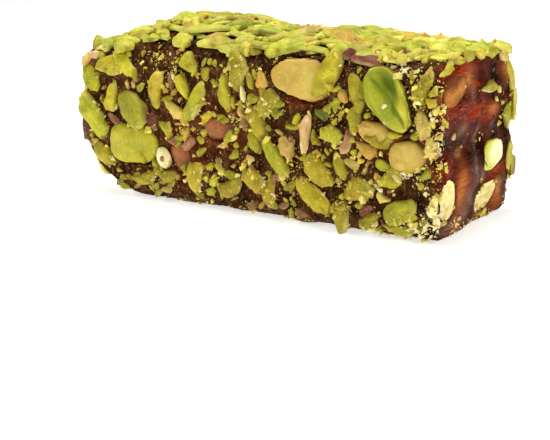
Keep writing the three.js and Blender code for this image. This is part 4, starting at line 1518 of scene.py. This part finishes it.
def mottle_group():
    """Soft uneven patches and a finer unevenness in them, each from 0 to 1."""
    tree, given, result = new_tree(
        "mottle", "ShaderNodeTree",
        [("Patch Size", "NodeSocketFloat", 0.002), ("Fine Size", "NodeSocketFloat", 0.0005)],
        [("Patches", "NodeSocketFloat"), ("Fine", "NodeSocketFloat")],
    )
    place = object_place(tree)
    patch_scale = calculated(tree, "DIVIDE", 1.0, given["Patch Size"])
    fine_scale = calculated(tree, "DIVIDE", 1.0, given["Fine Size"])
    patches = remapped(tree, noise_in(tree, place, patch_scale, 2.0, 0.55, 0.4), 0.32, 0.68)
    fine = remapped(tree, noise_in(tree, place, fine_scale, 2.0, 0.6), 0.3, 0.7)
    tree.links.new(patches, result["Patches"])
    tree.links.new(fine, result["Fine"])
    return tree


def grain_group():
    """The fine relief of cut nut or dried jelly, as a height from 0 to 1."""
    tree, given, result = new_tree(
        "grain", "ShaderNodeTree",
        [("Size", "NodeSocketFloat", 0.0006), ("Pits", "NodeSocketFloat", 0.3)],
        [("Height", "NodeSocketFloat")],
    )
    place = object_place(tree)
    scale = calculated(tree, "DIVIDE", 1.0, given["Size"])
    rough = noise_in(tree, place, scale, 4.0, 0.65)
    cells = add(tree, "ShaderNodeTexVoronoi", {"Vector": place, "Scale": scale}).outputs["Distance"]
    pits = remapped(tree, cells, 0.0, 0.35)
    height = blended(tree, given["Pits"], rough, pits)
    tree.links.new(height, result["Height"])
    return tree


def speck_group():
    """A mask of scattered small specks: dust or crumbs too small to model, and sugar that also stands for
    painted glints.
    """
    tree, given, result = new_tree(
        "specks", "ShaderNodeTree",
        [("Size", "NodeSocketFloat", 0.0006), ("Share", "NodeSocketFloat", 0.3)],
        [("Mask", "NodeSocketFloat")],
    )
    place = object_place(tree)
    scale = calculated(tree, "DIVIDE", 1.0, given["Size"])
    voronoi = add(tree, "ShaderNodeTexVoronoi", {"Vector": place, "Scale": scale, "Randomness": 1.0})
    near = remapped(tree, voronoi.outputs["Distance"], 0.34, 0.16)
    lot = add(tree, "ShaderNodeSeparateColor", {0: voronoi.outputs["Color"]}).outputs[0]
    kept = calculated(tree, "LESS_THAN", lot, given["Share"])
    tree.links.new(times(tree, near, kept), result["Mask"])
    return tree


def new_material(name, **values):
    """A material with the Principled shader's own sockets set, and its tree and shader."""
    material = bpy.data.materials.new(name)
    material.use_nodes = True
    shader = material.node_tree.nodes["Principled BSDF"]
    for socket, value in values.items():
        shader.inputs[socket.replace("_", " ")].default_value = value
    return material, material.node_tree, shader


def fleshy(name, weight, radius, scale, shine=0.5):
    """A material that light goes a little way into, in metres, and more of the red than of the blue."""
    return new_material(
        name, Subsurface_Weight=weight, Subsurface_Radius=radius, Subsurface_Scale=scale,
        Specular_IOR_Level=shine,
    )


def set_bump(tree, shader, height, strength, distance):
    bump = add(tree, "ShaderNodeBump", {
        "Height": height, "Strength": strength, "Distance": distance,
    })
    tree.links.new(bump.outputs["Normal"], shader.inputs["Normal"])


def mottled(tree, groups, patch_size, fine_size):
    return group_node(tree, groups["mottle"], {"Patch Size": patch_size, "Fine Size": fine_size})


def grained(tree, groups, size, pits):
    return group_node(tree, groups["grain"], {"Size": size, "Pits": pits})["Height"]


def painted(tree, base, mask, strength, colour):
    """A colour over a base where the mask is high, at most as strongly as given."""
    return mixed(tree, times(tree, mask, strength), base, colour)


def join(tree, shader, sockets):
    for name, output in sockets.items():
        tree.links.new(output, shader.inputs[name])


# ---- Finishes

# The jelly's sides, from dark to light in uneven patches.
DRIED_JELLY = [(0.0, linear(31, 17, 8)), (0.5, linear(62, 37, 18)), (1.0, linear(98, 66, 38))]
# Lighter streaks, and near-black specks that are painted shade in small pits.
STREAK, PIT_SHADE = linear(128, 92, 66), linear(24, 12, 8)
# Specks of nut on them, and of sugar that also stands for painted glints: size, share of the places that
# have one, strength and colour.
SPECKS = [(0.00075, 0.2, 0.6, linear(160, 130, 70)), (0.00042, 0.13, 0.75, linear(206, 178, 122))]
# The cut end, from deep to thin, and the colour and strength of what glows through it and of its painted
# sheen.
WET_JELLY = [(0.0, linear(16, 5, 3)), (0.45, linear(44, 15, 9)), (1.0, linear(84, 38, 22))]
GLOW_COLOURS = {
    "red": (linear(164, 52, 18), 0.9),
    "amber": (linear(190, 118, 54), 0.95),
    # A painted sheen, milky grey-brown, where the knife smeared the jelly.
    "haze": (linear(138, 104, 88), 0.8),
}


def dried_jelly(tree, groups, mottle, streaks):
    """The colour of the sides: streaked, with painted shade in small pits, and dusted with nut and with
    sugar that also stands for painted glints.
    """
    colour = ramp(tree, mottle["Patches"], DRIED_JELLY)
    colour = mixed(tree, remapped(tree, streaks, 0.54, 0.74, 0.0, 0.6), colour, STREAK)
    # Painted shade: near-black where the fine unevenness is lowest, as in small pits.
    colour = mixed(tree, remapped(tree, mottle["Fine"], 0.0, 0.5, 0.8, 0.0), colour, PIT_SHADE)
    for size, share, strength, speck in SPECKS:
        mask = group_node(tree, groups["specks"], {"Size": size, "Share": share})["Mask"]
        colour = painted(tree, colour, mask, strength, speck)
    return colour


def glowing(tree, base, flow):
    """A colour with the red and amber glow and the painted milky sheen of the cut end, drawn out in veins
    and threads.
    """
    veins = remapped(tree, noise_in(tree, flow, 420.0, 4.0, 0.65, 1.2), 0.34, 0.6)
    threads = remapped(tree, noise_in(tree, flow, 760.0, 3.0, 0.6, 0.6), 0.34, 0.62, 0.45, 1.0)
    for name, (colour, strength) in GLOW_COLOURS.items():
        drawn_out = veins if name == "red" else threads
        glow = times(tree, attribute(tree, name), drawn_out)
        base = painted(tree, base, glow, strength, colour)
    return base


def jelly_finish(groups):
    material, tree, shader = fleshy("fruit jelly", 0.12, (1.0, 0.35, 0.2), 0.0016, 0.004)
    cut = attribute(tree, "cut")
    mottle = mottled(tree, groups, 0.0034, 0.0007)
    streaks = noise_in(tree, object_place(tree, (1, 1, 0.16)), 1900.0, 3.0, 0.6, 0.3)
    flow = object_place(tree, (1, 0.4, 1.7))
    dried = dried_jelly(tree, groups, mottle, streaks)
    base = glowing(tree, mixed(tree, cut, dried, ramp(tree, mottle["Patches"], WET_JELLY)), flow)
    dull = remapped(tree, mottle["Fine"], 0.0, 1.0, 0.42, 0.62)
    drops = remapped(tree, noise_in(tree, object_place(tree), 900.0, 2.0, 0.6), 0.61, 0.67, 0.008, 0.34)
    join(tree, shader, {
        "Base Color": base,
        "Roughness": blended(tree, cut, dull, 0.16),
        "Coat Weight": times(tree, cut, drops),
    })
    grain = grained(tree, groups, 0.0008, 0.35)
    softened = times(tree, grain, remapped(tree, cut, 0.0, 1.0, 1.0, 0.12))
    side = minus(tree, 1.0, cut)
    combed = times(tree, times(tree, streaks, side), 0.35)
    wrinkled = times(tree, noise_in(tree, flow, 900.0, 2.0, 0.5, 1.0), cut)
    heights = plus(tree, plus(tree, softened, combed), wrinkled)
    set_bump(tree, shader, heights, 0.8, 0.0006)
    return material


NUT_SHADE, NUT_LIGHT = linear(190, 192, 112), linear(234, 226, 108)
# Paler rims, partly the cut flesh and partly a painted highlight, and the skin on some rims.
PALE_RIM_AND_HIGHLIGHT, NUT_SKIN = linear(240, 228, 140), linear(126, 84, 46)


def nut_finish(groups):
    material, tree, shader = fleshy("slivered pistachio", 0.18, (1.0, 0.9, 0.35), 0.0009, 0.28)
    tint, rim = attribute(tree, "tint", "Color"), attribute(tree, "rim")
    mottle = mottled(tree, groups, 0.0026, 0.00045)
    deep = mixed(tree, 1.0, tint, NUT_SHADE, "MULTIPLY")
    body = mixed(tree, mottle["Patches"], deep, tint)
    light = remapped(tree, mottle["Fine"], 0.45, 1.0, 0.0, 0.38)
    body = mixed(tree, light, body, mixed(tree, 0.45, tint, NUT_LIGHT))
    fibre = noise_in(tree, object_place(tree, (1, 1, 0.5)), 2400.0, 2.0, 0.7)
    body = mixed(tree, remapped(tree, fibre, 0.5, 0.3, 0.0, 0.4), body, deep)
    patch = noise_in(tree, object_place(tree), 170.0, 1.0)
    # Paler rims in patches: partly cut flesh, partly a painted highlight.
    edge = times(tree, rim, remapped(tree, patch, 0.58, 0.4, 0.0, 0.6))
    skinned = times(tree, rim, remapped(tree, patch, 0.55, 0.62, 0.0, 0.7))
    body = mixed(tree, edge, body, mixed(tree, 0.6, tint, PALE_RIM_AND_HIGHLIGHT))
    join(tree, shader, {
        "Base Color": mixed(tree, skinned, body, NUT_SKIN),
        "Roughness": remapped(tree, mottle["Fine"], 0.0, 1.0, 0.46, 0.66),
    })
    set_bump(tree, shader, grained(tree, groups, 0.0007, 0.2), 0.45, 0.00022)
    return material


# The crumbs' colours, by the share of crumbs up to each.
CRUMB_COLOURS = [
    (0.0, linear(178, 164, 40)), (0.35, linear(204, 192, 58)), (0.6, linear(224, 210, 88)),
    (0.8, linear(240, 228, 150)), (0.92, linear(190, 146, 70)), (1.0, linear(140, 86, 54)),
]
PALE_CRUMB, CRUMB_SHADE = linear(250, 238, 200), linear(180, 150, 60)


def crumb_finish(groups):
    material, tree, shader = fleshy("nut crumbs", 0.15, (1.0, 0.9, 0.5), 0.0006)
    mottle = mottled(tree, groups, 0.001, 0.0003)
    colour = ramp(tree, attribute(tree, "tone"), CRUMB_COLOURS)
    colour = painted(tree, colour, attribute(tree, "pale"), 0.85, PALE_CRUMB)
    shade = remapped(tree, mottle["Patches"], 0.0, 1.0, 0.3, 0.0)
    join(tree, shader, {
        "Base Color": mixed(tree, shade, colour, CRUMB_SHADE),
        "Roughness": remapped(tree, mottle["Fine"], 0.0, 1.0, 0.5, 0.75),
    })
    set_bump(tree, shader, grained(tree, groups, 0.0004, 0.3), 0.5, 0.0001)
    return material


# Kernel finishes: main colour, patches, the stain where it sinks in the jelly, and its gloss.
KERNEL_FINISHES = {
    "olive": (linear(184, 174, 38), linear(154, 152, 26), linear(110, 76, 32), 0.5),
    "tan": (linear(200, 179, 86), linear(178, 146, 60), linear(130, 66, 26), 0.5),
    "amber": (linear(196, 132, 52), linear(162, 96, 40), linear(84, 32, 20), 0.3),
    "brown": (linear(200, 128, 46), linear(156, 84, 28), linear(62, 26, 12), 0.4),
    "green": (linear(160, 164, 22), linear(132, 144, 16), linear(116, 92, 30), 0.42),
    "pale": (linear(192, 196, 48), linear(206, 200, 74), linear(150, 104, 40), 0.3),
    "cream": (linear(240, 222, 140), linear(218, 188, 104), linear(172, 84, 30), 0.45),
}
WHITE_FLESH = linear(250, 240, 186)
CREAM_FLESH = linear(246, 234, 174)
SPLIT = linear(164, 132, 56)
# Painted shade in the green half's hollow and crack.
SHADED_HOLLOW_GREEN = linear(96, 114, 12)
PALE_EDGE = linear(214, 206, 108)
OUTER_SKIN = linear(150, 140, 44)
LIGHT_FLAP = linear(196, 190, 58)
BROWNED = linear(190, 128, 50)
# From where to where above the jelly a kernel's stain fades, in millimetres.
STAIN_SPAN = {"brown": (1.2, -0.2), "others": (0.5, -0.7)}


def green_face(tree, body, place, inside):
    """The opened face of a green half: a duller outside, a pale brim, a light flap, and painted shade in
    its hollow and crack.
    """
    outside = minus(tree, 1.0, inside)
    brim = times(tree, times(tree, inside, outside), 3.2)
    body = painted(tree, body, outside, 0.6, OUTER_SKIN)
    body = mixed(tree, brim, body, PALE_EDGE)
    flap = remapped(tree, plus(tree, place[0], place[1]), 0.3, 0.8, 0.0, 0.8)
    body = painted(tree, body, flap, inside, LIGHT_FLAP)
    # Painted shade: darker green in the hollow and the crack.
    return mixed(tree, attribute(tree, "deep"), body, SHADED_HOLLOW_GREEN)


def browned_end(tree, body, place, patches):
    """A tan kernel with one end browner."""
    browned = minus(tree, times(tree, patches, 0.6), place[0])
    return mixed(tree, remapped(tree, browned, 0.6, 1.4, 0.0, 0.8), body, BROWNED)


def cut_flesh(tree, name, place, mottle):
    """The flesh that the knife laid open, with the split between the kernel's halves."""
    main, patches = KERNEL_FINISHES[name][:2]
    wander = times(tree, mottle["Patches"], 0.35)
    if name == "pale":
        flat = add(tree, "ShaderNodeVectorMath", {
            0: attribute(tree, "place", "Vector"), 1: (1, 1, 0),
        }, operation="MULTIPLY").outputs[0]
        reach = add(tree, "ShaderNodeVectorMath", {0: flat}, operation="LENGTH").outputs["Value"]
        # Lime towards the rim is the kernel's own colour. Lime towards one end is painted shade.
        lime_and_shade = minus(tree, plus(tree, reach, wander), place[0])
        flesh = mixed(tree, remapped(tree, lime_and_shade, 0.3, 1.3), WHITE_FLESH, main)
    else:
        flesh = mixed(tree, mottle["Fine"], main, CREAM_FLESH)
    flesh = mixed(tree, remapped(tree, mottle["Patches"], 0.2, 0.0, 0.0, 0.8), flesh, patches)
    if name == "pale":
        return flesh
    across = minus(tree, plus(tree, place[1], wander), 0.2)
    parted = remapped(tree, calculated(tree, "ABSOLUTE", across), 0.14, 0.02, 0.0, 0.2)
    return mixed(tree, parted, flesh, SPLIT)


def amber_film(tree, place, patches):
    """How thickly the jelly lies over the amber kernel: at its sides and low down, in streaks."""
    across = calculated(tree, "ABSOLUTE", plus(tree, place[1], 0.12))
    streaky = times(tree, patches, 0.4)
    sides = remapped(tree, plus(tree, across, streaky), 0.3, 0.75)
    rising = minus(tree, attribute(tree, "height"), streaky)
    return calculated(tree, "MAXIMUM", sides, remapped(tree, rising, 0.72, 0.0))


def sunk_edge(tree, name, patches, bare):
    """How thickly the jelly lies over a kernel where it sinks in, raggedly, but not on bare flesh."""
    drips = times(tree, patches, -0.9)
    ragged = plus(tree, attribute(tree, "height"), drips)
    sunk = remapped(tree, ragged, *STAIN_SPAN["brown" if name == "brown" else "others"])
    return times(tree, sunk, minus(tree, 1.0, bare))


def kernel_finish(name, groups):
    main, patches, stain, gloss = KERNEL_FINISHES[name]
    wet = name == "amber"
    shine = 0.01 if wet else 0.25
    material, tree, shader = fleshy(f"kernel {name}", 0.2, (1.0, 0.8, 0.4), 0.001, shine)
    mottle = mottled(tree, groups, 0.0036, 0.0006)
    place = add(tree, "ShaderNodeSeparateXYZ", {0: attribute(tree, "place", "Vector")}).outputs
    inside, cut = attribute(tree, "inside"), attribute(tree, "cut")
    body = mixed(tree, mottle["Patches"], patches, main)
    fine = remapped(tree, mottle["Fine"], 0.5, 1.0, 0.0, 0.3)
    body = mixed(tree, fine, body, mixed(tree, 0.35, main, WHITE_FLESH))
    if name == "green":
        body = green_face(tree, body, place, inside)
    if name == "tan":
        body = browned_end(tree, body, place, mottle["Patches"])
    body = mixed(tree, cut, body, cut_flesh(tree, name, place, mottle))
    if wet:
        sunk = amber_film(tree, place, mottle["Patches"])
    else:
        bare = plus(tree, cut, inside, clamp=True)
        sunk = sunk_edge(tree, name, mottle["Patches"], bare)
    join(tree, shader, {
        "Base Color": painted(tree, body, sunk, 0.85, stain),
        "Roughness": remapped(tree, mottle["Fine"], 0.0, 1.0, gloss, gloss + 0.15),
        "Coat Weight": times(tree, sunk, 0.01 if wet else 0.12),
    })
    set_bump(tree, shader, grained(tree, groups, 0.0007, 0.25), 0.4, 0.00025)
    return material


def floor_finish(groups):
    material, tree, shader = new_material(
        "pale floor", Roughness=0.6, Specular_IOR_Level=0.2, Emission_Strength=FLOOR_GLOW,
    )
    mottle = mottled(tree, groups, 0.08, 0.01)
    tone = mixed(tree, mottle["Patches"], FLOOR_TONES[0], FLOOR_TONES[1])
    join(tree, shader, {"Base Color": tone, "Emission Color": tone})
    return material


# ---- Floor, light and camera

CAMERA = {
    "azimuth": 33.532, "elevation": 15.615, "roll": -0.635, "distance": 243.949,
    "aside": -4.953, "above": -21.818, "aim": (2.5, 0, 18.2), "lens": 72, "film": 36, "nearest": 10,
}
# Soft lamps: name, place and aim in millimetres, size in millimetres, and power in watts.
LAMPS = [
    ("overhead", (-80, 60, 520), (0, 0, 20), 260, 3.2),
    ("front_left", (-260, -460, 300), (0, 0, 15), 160, 1.05),
    ("right", (430, -160, 230), (20, 0, 18), 50, 0.9),
]
WARMTH = (1.0, 0.95, 0.84)
SKY = 0.12
FLOOR_GLOW = 0.68
FLOOR_REACH = 3000
FLOOR_TONES = [linear(248, 248, 248), linear(252, 252, 252)]


def make_floor(groups):
    far = FLOOR_REACH * MM
    corners = [(-far, -far, 0), (far, -far, 0), (far, far, 0), (-far, far, 0)]
    mesh = mesh_from("floor", corners, [(0, 1, 2, 3)])
    mesh.materials.append(floor_finish(groups))
    floor = new_object("floor", mesh)


def make_lamps():
    for name, place, aim, size, power in LAMPS:
        data = bpy.data.lights.new(name, "AREA")
        data.shape, data.size, data.energy, data.color = "DISK", size * MM, power, WARMTH
        lamp = new_object(name, data)
        lamp.location = Vector(place) * MM
        away = Vector(place) - Vector(aim)
        lamp.rotation_euler = away.to_track_quat("Z", "Y").to_euler()


def make_sky():
    world = bpy.data.worlds.new("studio")
    world.use_nodes = True
    sky = world.node_tree.nodes["Background"]
    sky.inputs["Color"].default_value = (1, 1, 1, 1)
    sky.inputs["Strength"].default_value = SKY
    bpy.context.scene.world = world
    bpy.context.scene.view_settings.view_transform = "Standard"


def make_camera():
    turn, lift, roll = (math.radians(CAMERA[key]) for key in ("azimuth", "elevation", "roll"))
    back = Vector((math.sin(turn) * math.cos(lift), -math.cos(turn) * math.cos(lift), math.sin(lift)))
    right = (-back).cross(Vector((0, 0, 1))).normalized()
    up = right.cross(-back)
    level_right = right * math.cos(roll) + up * math.sin(roll)
    level_up = up * math.cos(roll) - right * math.sin(roll)
    place = Vector(CAMERA["aim"]) + back * CAMERA["distance"]
    place += level_right * CAMERA["aside"] + level_up * CAMERA["above"]
    data = bpy.data.cameras.new("camera")
    data.lens, data.sensor_width = CAMERA["lens"], CAMERA["film"]
    data.clip_start = CAMERA["nearest"] * MM
    camera = new_object("camera", data)
    matrix = camera.matrix_world.copy()
    for i, axis in enumerate((level_right, level_up, back)):
        matrix.col[i][:3] = axis
    matrix.translation = place * MM
    camera.matrix_world = matrix
    bpy.context.scene.camera = camera


# ---- The whole bar

LARGE_FLAKE = 5              # longer ones get the finer shapes


def own(piece, node):
    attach(piece, "root")
    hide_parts(node)


def main():
    groups = {"mottle": mottle_group(), "grain": grain_group(), "specks": speck_group()}
    nut, crumb = nut_finish(groups), crumb_finish(groups)
    jelly = make_jelly()
    jelly.data.materials.append(jelly_finish(groups))

    fine, plain = make_shapes("fine"), make_shapes("plain")
    laying, scattering = laying_tree(), scattering_tree()
    slivers = main_slivers()
    fill = fill_pieces(slivers)
    large = [piece for piece in fill if piece["length"] > LARGE_FLAKE]
    small = [piece for piece in fill if piece["length"] <= LARGE_FLAKE]
    layers = [
        make_pieces("nut_slivers", slivers, fine, laying, nut, SEED + 11),
        make_pieces("nut_flakes", large, fine, laying, nut, SEED + 12),
        make_pieces("nut_chips", small + placed_chips(), plain, laying, nut, SEED + 13),
    ]
    shapes = {name: make_crumb_shapes(name) for name in CRUMB_SHAPES}
    ground = [jelly, *layers[:2]]
    layers += [make_crumbs(row, ground, shapes, scattering, crumb) for row in CRUMBS]

    finishes = {name: kernel_finish(name, groups) for name in KERNEL_FINISHES}
    for number, kernel in enumerate(KERNELS):
        make_kernel(kernel, finishes, number)
    own(jelly, "coated_jelly")
    for piece in layers:
        own(piece, "coated_jelly")
    make_floor(groups)
    make_lamps()
    make_sky()
    make_camera()


main()
